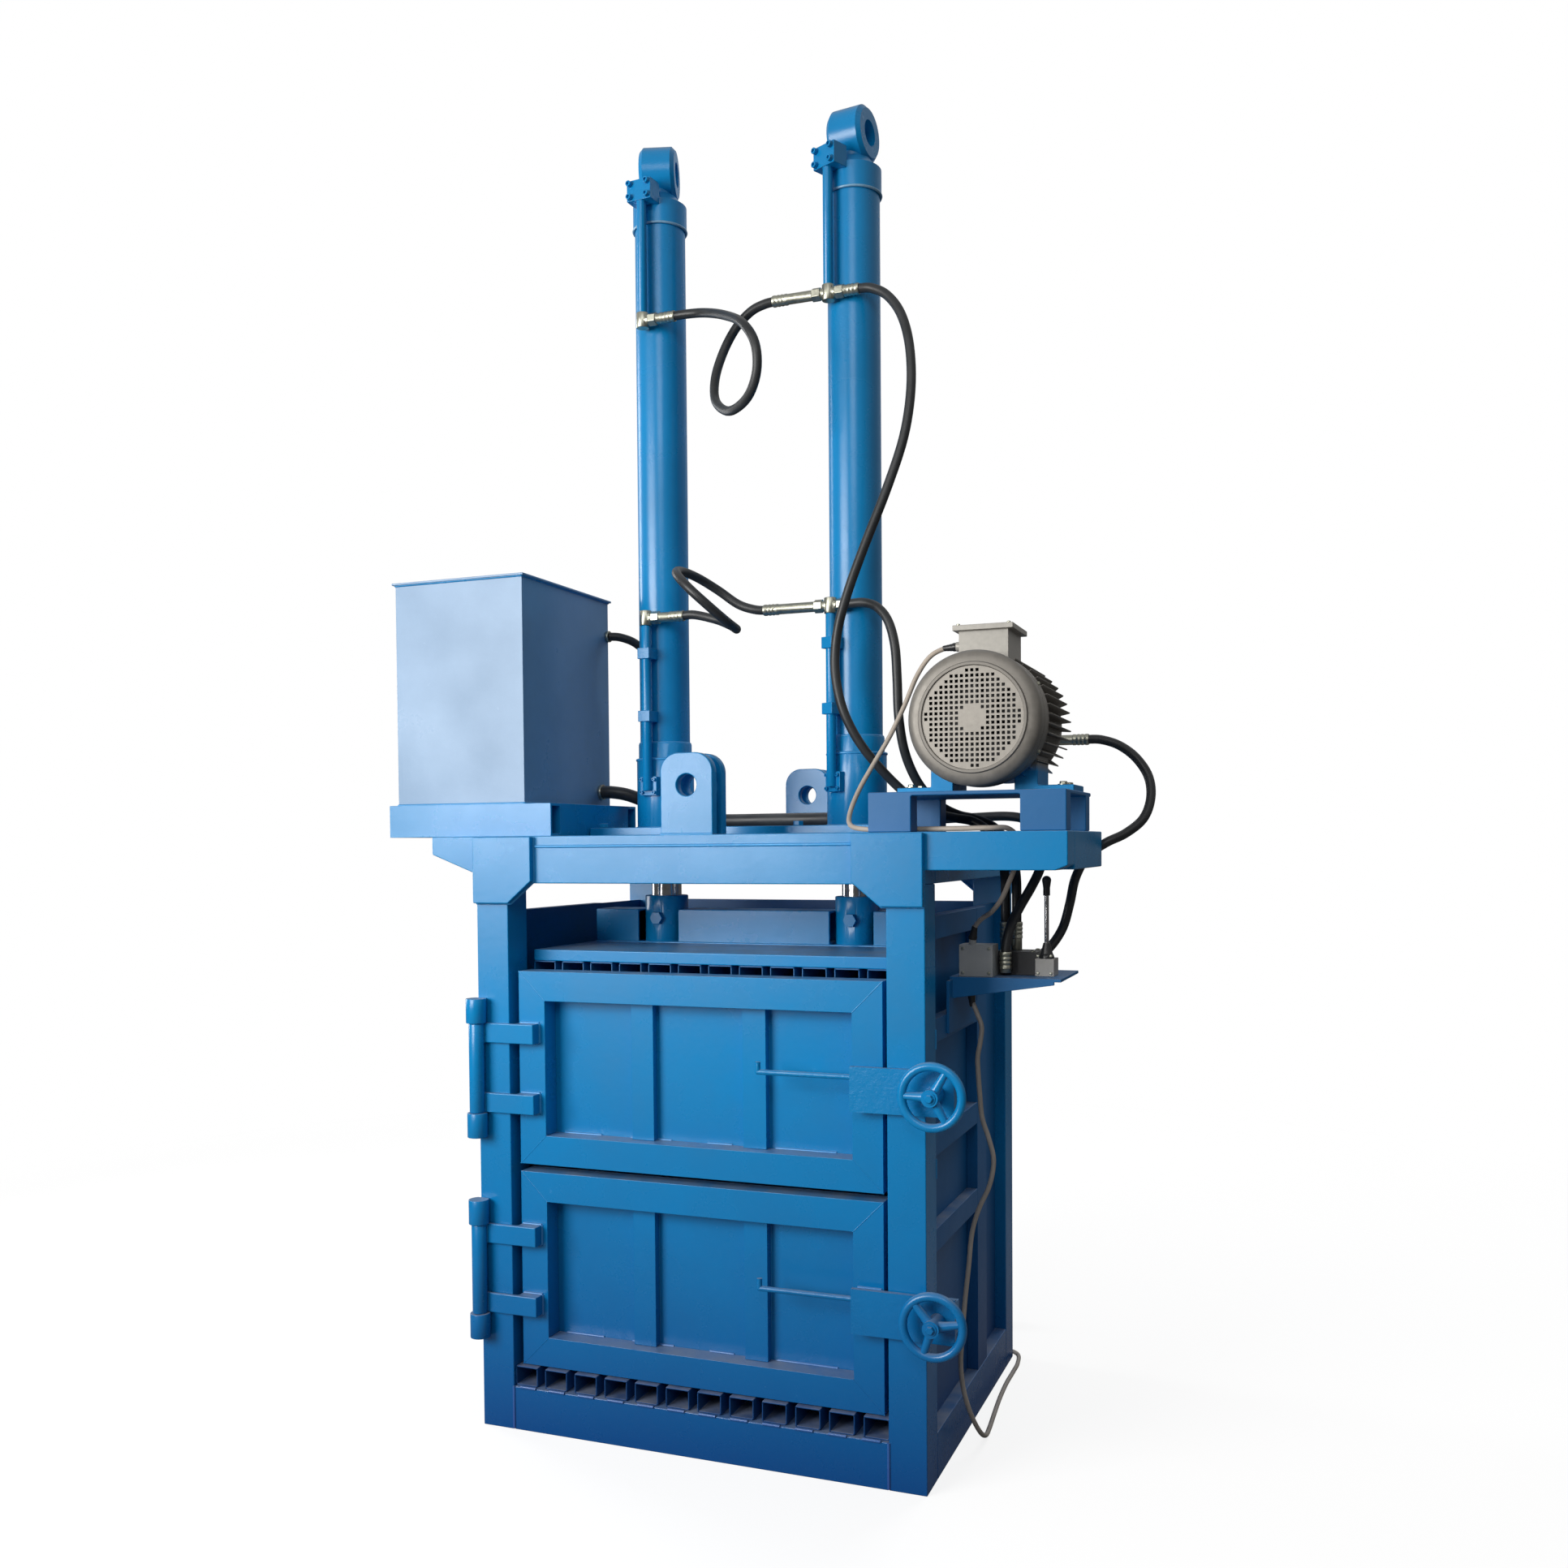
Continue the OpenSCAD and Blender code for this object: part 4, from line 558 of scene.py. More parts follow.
@cache
def grille_tree():
    """Round sheet with rows of square holes round a plain middle, facing the front."""
    tree, start, keys = geometry_tree(
        "Fan grille", Radius=0.13, Plain_middle=0.03, Pitch=0.0125, Bar=0.0052, Thickness=0.002, Lines=51,
        Place=(0, 0, 0))
    radius, middle, pitch, bar, thickness, lines, place = start.outputs[1:8]

    def calc(what, first, second=0.0):
        return math_node(tree, what, first, second)

    grid = add_node(tree, "GeometryNodeMeshGrid", {"Vertices X": lines, "Vertices Y": lines})
    index = tree.nodes.new("GeometryNodeInputIndex").outputs[0]
    half = calc("MULTIPLY", calc("MULTIPLY", lines, 0.25), pitch)

    def station(count):
        """Place of a grid line: bars and holes by turns."""
        cell = calc("MULTIPLY", calc("FLOOR", calc("DIVIDE", count, 2.0)), pitch)
        side = calc("MULTIPLY", calc("MODULO", count, 2.0), bar)
        return calc("SUBTRACT", calc("ADD", cell, side), half)

    across = station(calc("FLOOR", calc("DIVIDE", index, lines)))
    upward = station(calc("MODULO", index, lines))
    spread = add_node(tree, "ShaderNodeCombineXYZ", {0: across, 2: upward}).outputs[0]
    sheet = add_node(tree, "GeometryNodeSetPosition", {"Geometry": grid.outputs["Mesh"], "Position": spread})

    where = tree.nodes.new("GeometryNodeInputPosition").outputs[0]
    away = add_node(tree, "ShaderNodeVectorMath", {0: where}, operation="LENGTH").outputs["Value"]

    def in_hole(axis):
        part = calc("FRACT", calc("DIVIDE", calc("ADD", axis_of(tree, where, axis), half), pitch))
        return calc("GREATER_THAN", part, calc("DIVIDE", bar, pitch))

    ring = calc("MULTIPLY", calc("GREATER_THAN", away, middle),
                calc("LESS_THAN", away, calc("SUBTRACT", radius, pitch)))
    hole = calc("MULTIPLY", ring, calc("MULTIPLY", in_hole("X"), in_hole("Z")))
    gone = calc("MAXIMUM", hole, calc("GREATER_THAN", away, radius))
    cut = add_node(tree, "GeometryNodeDeleteGeometry", {
        "Geometry": sheet.outputs["Geometry"], "Selection": gone}, domain="FACE").outputs["Geometry"]
    front = add_node(tree, "GeometryNodeExtrudeMesh", {
        "Mesh": cut, "Offset Scale": thickness, "Individual": False})
    back = add_node(tree, "GeometryNodeFlipFaces", {"Mesh": cut})
    joined = tree.nodes.new("GeometryNodeJoinGeometry")
    for part in (front, back):
        tree.links.new(part.outputs["Mesh"], joined.inputs["Geometry"])
    closed = add_node(tree, "GeometryNodeMergeByDistance", {
        "Geometry": joined.outputs["Geometry"], "Distance": 0.00002})
    moved = add_node(tree, "GeometryNodeTransform", {
        "Geometry": closed.outputs["Geometry"], "Translation": place})
    close_tree(tree, start, moved.outputs["Geometry"])
    return tree, keys


def point_object(points):
    """Mesh of points, each with its aim and size: (place, aim, size)."""
    data = bpy.data.meshes.new("Points")
    data.from_pydata([place for place, _, _ in points], [], [])
    for at, point in zip(data.attributes.new("aim", "FLOAT_VECTOR", "POINT").data, points):
        at.vector = point[1]
    for at, point in zip(data.attributes.new("size", "FLOAT", "POINT").data, points):
        at.value = point[2]
    return bpy.data.objects.new("Points", data)


def corner_points(across, deep, up, aim, size):
    """Points with one aim and size at each meeting of the given places on the three axes."""
    return [((x, y, z), aim, size) for x in across for y in deep for z in up]


def circle(centre, radius, sides=64):
    """Closed ring of points round an upright axis."""
    x, y, z = centre
    angles = [2 * math.pi * k / sides for k in range(sides + 1)]
    return [(x + radius * math.cos(a), y + radius * math.sin(a), z) for a in angles]


def lathe(shape, place, axis, profile, sides, closed):
    """Adds a turned shape to a bmesh: profile points are (along the axis, radius)."""
    turn = Vector((0, 0, 1)).rotation_difference(Vector(axis)).to_matrix()
    angles = [2 * math.pi * k / sides for k in range(sides)]
    rings = []
    for along, radius in profile:
        spots = [Vector((radius * math.cos(a), radius * math.sin(a), along))
                 for a in (angles if radius > 0 else angles[:1])]
        rings.append([shape.verts.new(Vector(place) + turn @ spot) for spot in spots])
    pairs = list(zip(rings, rings[1:])) + ([(rings[-1], rings[0])] if closed else [])
    for one, two in pairs:
        for k in range(sides):
            corners = [one[k % len(one)], one[(k + 1) % len(one)], two[(k + 1) % len(two)], two[k % len(two)]]
            shape.faces.new(dict.fromkeys(corners))


def finished_mesh(name, shape):
    """Turns a bmesh into a smooth mesh with sharp corners kept, faces outwards."""
    bmesh.ops.recalc_face_normals(shape, faces=shape.faces)
    for face in shape.faces:
        face.smooth = True
    for edge in shape.edges:
        edge.smooth = edge.calc_face_angle(0.0) < math.radians(32)
    mesh = bpy.data.meshes.new(name)
    shape.to_mesh(mesh)
    shape.free()
    return mesh


# Turned shapes of the small pieces, each as rows of (along the axis, radius) with its number of sides.
# Bolts and screws have a radius of 1 and take their size from their point; the others are in metres.
HEX_BOLT = ((((0.0, 0.0), (0.0, 1.45), (0.24, 1.45), (0.24, 0.0)), 20),
            (((0.2, 0.0), (0.2, 1.0), (0.8, 1.0), (0.95, 0.82), (0.95, 0.0)), 6))
SOCKET_BOLT = ((((0.0, 0.0), (0.0, 1.0), (1.35, 1.0), (1.5, 0.86), (1.5, 0.55), (0.8, 0.5), (0.8, 0.0)), 20),)
PAN_SCREW = ((((0.0, 0.0), (0.0, 1.0), (0.35, 1.0), (0.6, 0.72), (0.68, 0.0)), 16),)
CRIMP = ((((-0.006, 0.0126), (-0.006, 0.0150), (-0.003, 0.0160), (0.003, 0.0160), (0.005, 0.0150),
           (0.008, 0.0150), (0.010, 0.0160), (0.014, 0.0160), (0.016, 0.0150), (0.019, 0.0150),
           (0.021, 0.0160), (0.025, 0.0160), (0.027, 0.0150), (0.030, 0.0150), (0.032, 0.0158),
           (0.038, 0.0158), (0.040, 0.0140), (0.0, 0.0128)), 28),)
RELIEF = ((((0.0, 0.0064), (0.0, 0.0115), (0.007, 0.0115), (0.010, 0.0100), (0.016, 0.0096), (0.018, 0.0088),
            (0.024, 0.0086), (0.026, 0.0080), (0.032, 0.0078), (0.036, 0.0070), (0.036, 0.0064)), 24),)
SPOKE = ((((0.016, 0.0), (0.016, 0.0130), (0.030, 0.0112), (0.068, 0.0090), (0.068, 0.0)), 20),)


def set_pieces(name, points, turned, look, body, slot):
    """Sets one turned piece on each point, as one mesh that rides on a body."""
    shape = bmesh.new()
    for profile, sides in turned:
        lathe(shape, (0, 0, 0), (0, 0, 1), profile, sides, closed=profile[0][1] > 0)
    piece = bpy.data.objects.new("Turned", finished_mesh("Turned", shape))
    bpy.context.scene.collection.objects.link(piece)
    mesh = grown(stud_tree, point_object(points), look, Object=piece)
    bpy.data.objects.remove(piece)
    add_piece(name, mesh, None, body, slot)


# Operators


class PRESS_OT_paint(Operator):
    """Paints the CAD pieces"""

    bl_idname = "press.paint"
    bl_label = "Paint"

    def execute(self, context):
        # Parts that stand in shadow take the darker enamel: painted shade
        shade = "floor_tubes chamber_walls wall_ribs platen_tubes valve_shelf motor_base pump".split()
        looks = {name: "shade" for name in shade}
        # The oil tank and its lid take the paler enamel: painted haze
        looks.update(
            motor_frame="motor", fan_cover="casting", terminal_box="pale_casting", oil_tank="tank",
            tank_lid="tank", rotor="steel", hose_fittings="steel", piston_rods="chrome", valve_lever="chrome",
            valve_body="valve", lever_knob_boot="black", cooling_fan="black", switch_box="box",
            supply_plug="black", upper_lock_plate="rough_plate", lower_lock_plate="rough_plate")
        for name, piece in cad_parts.items():
            piece.data.materials.clear()
            piece.data.materials.append(material(looks.get(name, "enamel")))
        return {"FINISHED"}


class PRESS_OT_soft_edges(Operator):
    """Rounds the edges of the rolled tubes and cut plates"""

    bl_idname = "press.soft_edges"
    bl_label = "Soft edges"

    # Thin and small pieces take less; pieces of many round faces aren't merged into flat ones
    THIN = {"chamber_walls", "upper_door_panel", "lower_door_panel", "oil_tank", "tank_lid", "tank_tray",
            "valve_shelf", "upper_door_frame", "lower_door_frame"}
    SMALL = {"deck_bolts", "socket_bolts", "hose_fittings", "terminal_box", "switch_box", "valve_body",
             "wall_ribs", "cylinder_pipes", "hinge_knuckles", "lock_nuts"}
    ROUND = {"cylinder_pipes"}
    SKIP = {"rotor", "cooling_fan", "supply_coil", "valve_lever", "lever_knob_boot", "piston_rods",
            "fan_cover", "upper_lock_plate", "lower_lock_plate", "barrels"}

    def execute(self, context):
        edge = settings().sizes.edge
        for name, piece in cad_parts.items():
            if name in self.SKIP or name.endswith(("_hose", "_cable", "_handwheel")):
                continue
            share = 0.4 if name in self.THIN else 0.5 if name in self.SMALL else 1.0
            self.modify(piece, "Joined", "WELD", merge_threshold=0.00002)
            if name not in self.ROUND:
                self.modify(piece, "Flat faces", "DECIMATE", decimate_type="DISSOLVE",
                            angle_limit=math.radians(0.6))
            self.modify(piece, "Soft edges", "BEVEL", width=edge * share, segments=2, limit_method="ANGLE",
                        angle_limit=math.radians(40), use_clamp_overlap=False, miter_outer="MITER_ARC",
                        harden_normals=True)
        return {"FINISHED"}

    @staticmethod
    def modify(piece, name, kind, **values):
        made = piece.modifiers.new(name, kind)
        for label, value in values.items():
            setattr(made, label, value)


class PRESS_OT_hoses(Operator):
    """Lays the hydraulic hoses between their fittings"""

    bl_idname = "press.hoses"
    bl_label = "Hoses"

    def execute(self, context):
        sizes = settings().sizes
        for name in (*HOSES, "suction_hose"):
            across = sizes.suction if name == "suction_hose" else sizes.hose
            lay_cord(name + "_cover", [name], smooth_path(ROUTES[name]), across, "rubber", "black_rubber",
                     far_end="object", stiffness="stiff", lay="hanging")
        return {"FINISHED"}


class PRESS_OT_cables(Operator):
    """Lays the motor cable and the supply cable with its coil behind the press"""

    bl_idname = "press.cables"
    bl_label = "Cables"

    def execute(self, context):
        across = settings().sizes.cable
        lay_cord("motor_cable_sheath", ["motor_cable"], smooth_path(ROUTES["motor_cable"]), across,
                 "beige", "grey_rubber", far_end="object", stiffness="medium", lay="hanging")
        path = smooth_path(ROUTES["supply_cable"]) + self.coil(across)
        lay_cord("supply_cable_sheath", ["supply_cable", "supply_coil"], path, across,
                 "sheath", "grey_rubber", far_end="plug", stiffness="medium", lay="coiled",
                 with_pieces=[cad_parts["supply_plug"]])
        return {"FINISHED"}

    @staticmethod
    def coil(across):
        """Turns of the coil: inwards on the floor, outwards on them, and once round on top to the plug."""
        lo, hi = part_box("supply_coil")
        centre = (lo + hi) / 2
        outer = (hi.x - lo.x) / 2 - across / 2
        per_turn, inmost, turns = 36, 3, 7
        pitch = across * 1.02
        leave = math.radians(110)
        last = turns + (1.5 * math.pi - leave) / (2 * math.pi)
        path = []
        for n in range(1, round(last * per_turn) + 1):
            turn, part = divmod(n / per_turn, 1.0)
            ring = turn + ease(part, 0.62, 0.95) if turn < inmost else float(inmost)
            layer = ease(part, 0.3, 0.6) if turn == inmost else 0.0
            if turn > inmost:
                ring = max(0.0, turns - turn - ease(part, 0.0, 0.3))
                layer = 1.0 + (ease(part, 0.7, 1.0) if turn == turns - 1 else float(turn > turns - 1))
            angle = -math.pi / 2 - 2 * math.pi * n / per_turn
            radius = outer - ring * pitch
            path.append(Vector((centre.x + radius * math.cos(angle), centre.y + radius * math.sin(angle),
                                lo.z + across * 0.54 + layer * across)))
        ahead = Vector((math.sin(leave), -math.cos(leave), 0.1))
        return path + [path[-1] + ahead * run for run in (0.018, 0.036, 0.054)]


class PRESS_OT_fan_cover(Operator):
    """Makes the motor's fan cover: a turned shell with a grille of square holes"""

    bl_idname = "press.fan_cover"
    bl_label = "Fan cover"

    def execute(self, context):
        lo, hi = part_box("fan_cover")
        middle = Vector(((lo.x + hi.x) / 2, lo.y, (lo.z + hi.z) / 2))
        outer = (hi.x - lo.x) / 2
        grille = 0.78 * outer
        pitch = 0.0132
        grille_depth, disc_depth = 0.006, 0.081
        self.turned("fan_cover_shell", middle, self.shell(outer, hi.y - lo.y, grille), 96,
                    "casting", "frame", "motor_grey", "fan_cover")
        seed = bpy.data.objects.new("Seed", bpy.data.meshes.new("Seed"))
        mesh = grown(grille_tree, seed, "grille", Radius=grille, Plain_middle=0.034, Pitch=pitch, Bar=0.0052,
                     Thickness=0.002, Lines=4 * math.ceil(grille / pitch) + 3,
                     Place=middle + Vector((0, grille_depth, 0)))
        add_piece("fan_grille", mesh, None, "frame", "motor_grey")
        disc = ((0.0, 0.030), (-0.004, 0.070), (0.0, 0.146), (0.003, 0.146), (0.003, 0.030))
        self.turned("fan_disc", middle + Vector((0, disc_depth, 0)), disc, 64,
                    "black", "motor_rotor", "black_rubber")
        return {"FINISHED"}

    @staticmethod
    def turned(name, place, profile, sides, *piece):
        shape = bmesh.new()
        lathe(shape, place, (0, 1, 0), profile, sides, True)
        add_piece(name, finished_mesh(name, shape), *piece)

    @staticmethod
    def shell(outer, depth, grille):
        """Section of the cover: a bead round the grille, a round shoulder and a groove before the rim."""
        wall, groove = 0.003, 0.002
        shoulder = [(0.004 + 0.022 * (1 - math.cos(a)), outer - 0.030 + 0.030 * math.sin(a))
                    for a in (math.radians(d) for d in range(15, 91, 15))]
        bead = [(0.004, grille - 0.004), (-0.001, grille - 0.002),
                (-0.001, grille + 0.004), (0.004, grille + 0.007)]
        rim = [(depth * 0.55, outer), (depth * 0.56, outer - groove), (depth * 0.60, outer - groove),
               (depth * 0.61, outer), (depth, outer), (depth, outer - wall)]
        inside = [(a + wall, r - wall) for a, r in reversed(shoulder)] + [(0.008, grille - 0.004)]
        return bead + shoulder + rim + inside


class PRESS_OT_bolts(Operator):
    """Sets the bolts, nuts and screws on their plates, blocks and boxes"""

    bl_idname = "press.bolts"
    bl_label = "Bolts"

    def execute(self, context):
        blocks = [point for place, turn in CYLINDERS for block in PIPE_BLOCKS
                  for point in self.square(place, turn, *block)]
        set_pieces("block_bolts", blocks, SOCKET_BOLT, "enamel", "frame", "blue_paint")
        set_pieces("motor_bolts", self.motor_points(), HEX_BOLT, "steel", "frame", "motor_grey")
        set_pieces("box_screws", self.box_points(), PAN_SCREW, "steel", "frame", "motor_grey")
        for which, turn in SPOKE_TURNS.items():
            lo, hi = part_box(which + "_handwheel")
            hub = Vector(((lo.x + hi.x) / 2, lo.y, (lo.z + hi.z) / 2))
            rim = hub + Vector((0, 0.021, 0))
            ways = [math.radians(turn + 120 * k) for k in range(3)]
            spokes = [(rim, (math.cos(a), 0, -math.sin(a)), 1.0) for a in ways]
            wheel = which + "_wheel"
            set_pieces(wheel + "_nut", [(hub, (0, -1, 0), 0.0105)], HEX_BOLT, "enamel", wheel, "blue_paint")
            set_pieces(wheel + "_spokes", spokes, SPOKE, "enamel", wheel, "blue_paint")
        return {"FINISHED"}

    @staticmethod
    def square(place, turn, height, out, across, up, size):
        """Four points on a block that faces outwards from an upright axis."""
        angle = math.radians(turn)
        ahead = Vector((math.sin(angle), -math.cos(angle), 0.0))
        side = Vector((math.cos(angle), math.sin(angle), 0.0))
        middle = Vector((*place, height)) + ahead * out
        return [(middle + side * across * u + Vector((0, 0, up * v)), ahead, size)
                for u in (-1, 1) for v in (-1, 1)]

    @staticmethod
    def motor_points():
        """Feet, terminal box lid and the rim of the fan cover."""
        lo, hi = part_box("motor_frame")
        middle = (lo.x + hi.x) / 2
        foot_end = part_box("motor_base")[1].y - 0.015
        points = corner_points((middle - 0.2, middle + 0.2), (lo.y + 0.05, foot_end - 0.03), (lo.z + 0.018,),
                               (0, 0, 1), 0.010)
        lo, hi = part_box("terminal_box")
        reach = hi.x - middle - 0.013
        points += corner_points((middle - reach, middle + reach), (lo.y + 0.012, hi.y - 0.012), (hi.z,),
                                (0, 0, 1), 0.0048)
        lo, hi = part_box("fan_cover")
        centre = Vector((middle, hi.y - 0.014, (lo.z + hi.z) / 2))
        for angle in (math.radians(degrees) for degrees in (30, 150, 210, 330)):
            out = Vector((math.cos(angle), 0.0, math.sin(angle)))
            points.append((centre + out * ((hi.x - lo.x) / 2), out, 0.005))
        return points

    @staticmethod
    def box_points():
        """Top of the valve, front of the lever housing and front of the switch box."""
        lo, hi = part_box("valve_body")
        valve_corners = ((0.757, -0.128), (0.843, -0.128), (0.843, -0.060))
        points = [((x, y, lo.z + 0.062), (0, 0, 1), 0.006) for x, y in valve_corners]
        points += corner_points((0.863, hi.x - 0.008), (lo.y,), (lo.z + 0.008, hi.z - 0.008),
                                (0, -1, 0), 0.0038)
        lo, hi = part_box("switch_box")
        return points + corner_points((lo.x + 0.010, hi.x - 0.010), (lo.y,), (lo.z + 0.010, lo.z + 0.074),
                                      (0, -1, 0), 0.0042)


class PRESS_OT_sleeves(Operator):
    """Crimps a sleeve on each hose end and sets a strain relief where a cable leaves its housing"""

    bl_idname = "press.sleeves"
    bl_label = "Sleeves"

    def execute(self, context):
        tank_side = -500  # an end at the tank goes into its port without a sleeve
        ends = []
        for name in HOSES:
            route = ROUTES[name]
            for place, inner in ((route[0], route[1]), (route[-1], route[-2])):
                if place[0] > tank_side:
                    ends.append((Vector(place) * MM, self.main_axis(Vector(place) - Vector(inner)), 1.0))
        set_pieces("crimp_sleeves", ends, CRIMP, "steel", "frame", "motor_grey")
        reliefs = []
        for name, ways in (("motor_cable", ((0, 1), (-1, -2))), ("supply_cable", ((0, 1),))):
            for first, second in ways:
                place, after = Vector(ROUTES[name][first]) * MM, Vector(ROUTES[name][second]) * MM
                reliefs.append((place, after - place, 1.0))
        set_pieces("strain_reliefs", reliefs, RELIEF, "black", "frame", "black_rubber")
        return {"FINISHED"}

    @staticmethod
    def main_axis(way):
        """The main axis that a direction is nearest to."""
        longest = max(range(3), key=lambda k: abs(way[k]))
        axis = Vector((0, 0, 0))
        axis[longest] = math.copysign(1.0, way[longest])
        return axis


class PRESS_OT_welds(Operator):
    """Lays weld beads where the plates, tubes and rings meet"""

    bl_idname = "press.welds"
    bl_label = "Weld beads"

    def execute(self, context):
        bodies = {"frame": self.frame_lines(), "platen": self.platen_lines(),
                  "upper_door": self.door_lines("upper"), "lower_door": self.door_lines("lower")}
        for body, lines in bodies.items():
            # The bead enamel is lighter than the frame's: painted highlight
            self.bead(body + "_weld_beads", lines, "bead", body, radius=0.0042, ripple=0.008)
        for which in ("upper", "lower"):
            self.bead(which + "_door_mitre_welds", self.mitre_lines(which), "enamel", which + "_door",
                      radius=0.0021, ripple=0.012)
        collar, collar_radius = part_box("barrels")[1].z - 0.245, 0.079
        rings = [circle((*place, collar), collar_radius) for place, _ in CYLINDERS]
        # Pale rings round the collars: painted highlight
        self.bead("head_weld_rings", rings, "highlighted_bead", "frame", radius=0.0036, ripple=0.01)
        return {"FINISHED"}

    @staticmethod
    def bead(name, lines, look, body, radius, ripple):
        mesh = grown(bead_tree, poly_curve("Lines", lines), look, Radius=radius, Ripple=ripple)
        add_piece(name, mesh, None, body, "blue_paint")

    @staticmethod
    def frame_lines():
        """Beads of columns, floor tubes, corner plates, wall posts, lugs, tank and glands."""
        lo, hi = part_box("columns")
        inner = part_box("floor_tubes")[0].x
        width = inner - lo.x
        beam_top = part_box("cross_beams")[1].z
        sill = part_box("base_frame")[1].z
        lug_lo, lug_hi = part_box("lifting_lugs")
        corner = beam_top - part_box("corner_gussets")[0].z
        outline = ((0.0, 0.0), (0.6, 0.0), (1.0, 0.33), (1.0, 0.98))
        tubes, tube_half = 12, 0.024
        gap = (hi.x - lo.x - 2 * width) / tubes
        seam, seam_start = beam_top - 0.029, 1.9 * width
        post_drops, post_bead = (0.42, 0.75, 1.1), 0.05
        lines = []
        for y in (lo.y, hi.y):
            lines.append([(lo.x + seam_start, y, seam), (hi.x - seam_start, y, seam)])
            for x in (lo.x, hi.x - width):
                inside = x + (width if x < 0 else 0.0)
                lines.append([(x, y, hi.z), (x + width, y, hi.z)])
                lines.append([(inside, y, 0.004), (inside, y, sill)])
            for k in range(tubes):
                x = inner + gap * (k + 0.5)
                lines.append([(x - tube_half, y, sill), (x + tube_half, y, sill)])
        for y in (lo.y, hi.y):
            for x, side in ((lo.x, 1), (hi.x, -1)):
                lines.append([(x + side * corner * u, y, beam_top - corner + corner * v) for u, v in outline])
        for z in (hi.z - drop for drop in post_drops):
            lines.append([(hi.x - 0.002, lo.y + width, z + up) for up in (0.0, post_bead)])
        for y in (lug_lo.y, lug_hi.y):
            lines.append([(lug_lo.x, y, beam_top), (lug_hi.x, y, beam_top)])
        lo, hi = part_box("oil_tank")
        for z in (lo.z, hi.z):
            lines.append([(x, y, z) for x, y in (
                (lo.x, lo.y), (hi.x, lo.y), (hi.x, hi.y), (lo.x, hi.y), (lo.x, lo.y))])
        lo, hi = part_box("glands")
        radius = (hi.y - lo.y) / 2
        y = (lo.y + hi.y) / 2
        for x in (lo.x + radius, hi.x - radius):
            for z, more in ((lo.z, 0.001), (hi.z - 0.049, -0.001), (hi.z, -0.011)):
                lines.append(circle((x, y, z), radius + more))
        return lines

    @staticmethod
    def platen_lines():
        """Beads along the beam and round the rod sockets."""
        lo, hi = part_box("platen_beam")
        sock_lo, sock_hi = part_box("rod_sockets")
        radius = (sock_hi.y - sock_lo.y) / 2
        lines = [[(lo.x, y, lo.z), (hi.x, y, lo.z)] for y in (lo.y, hi.y)]
        for x in (sock_lo.x + radius, sock_hi.x - radius):
            lines.append(circle((x, (sock_lo.y + sock_hi.y) / 2, sock_lo.z), radius + 0.001))
        return lines

    @staticmethod
    def mitre_lines(which):
        """Ground welds across the corners of a door frame, just under its front face."""
        lo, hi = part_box(which + "_door_frame")
        y = lo.y + 0.0013
        return [[(x, y, z), (x + right * DOOR_BAR, y, z + up * DOOR_BAR)]
                for x, right in ((lo.x, 1), (hi.x, -1)) for z, up in ((lo.z, 1), (hi.z, -1))]

    @staticmethod
    def door_lines(which):
        """Stitches behind the panel, and beads round the hinge straps and along the lock plate."""
        lo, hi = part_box(which + "_door_frame")
        span = hi.x - lo.x - 2 * DOOR_BAR
        stitches = ((0.03, 0.16), (0.26, 0.40), (0.52, 0.60), (0.74, 0.93))
        lines = [[(lo.x + DOOR_BAR + span * part, hi.y, z) for part in stitch]
                 for z in (lo.z + DOOR_BAR, hi.z - DOOR_BAR) for stitch in stitches]
        strap_lo, strap_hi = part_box(which + "_hinge_straps")
        for z in (strap_lo.z, strap_hi.z - STRAP_HEIGHT):
            lines.append([(strap_hi.x, lo.y, z), (strap_hi.x, lo.y, z + STRAP_HEIGHT)])
            for side in (z, z + STRAP_HEIGHT):
                lines.append([(lo.x + 0.006, lo.y, side), (strap_hi.x, lo.y, side)])
        middle = (lo.z + hi.z) / 2
        for z in (middle - LOCK_HALF, middle + LOCK_HALF):
            lines.append([(hi.x - 0.07, lo.y, z), (hi.x - 0.006, lo.y, z)])
        return lines


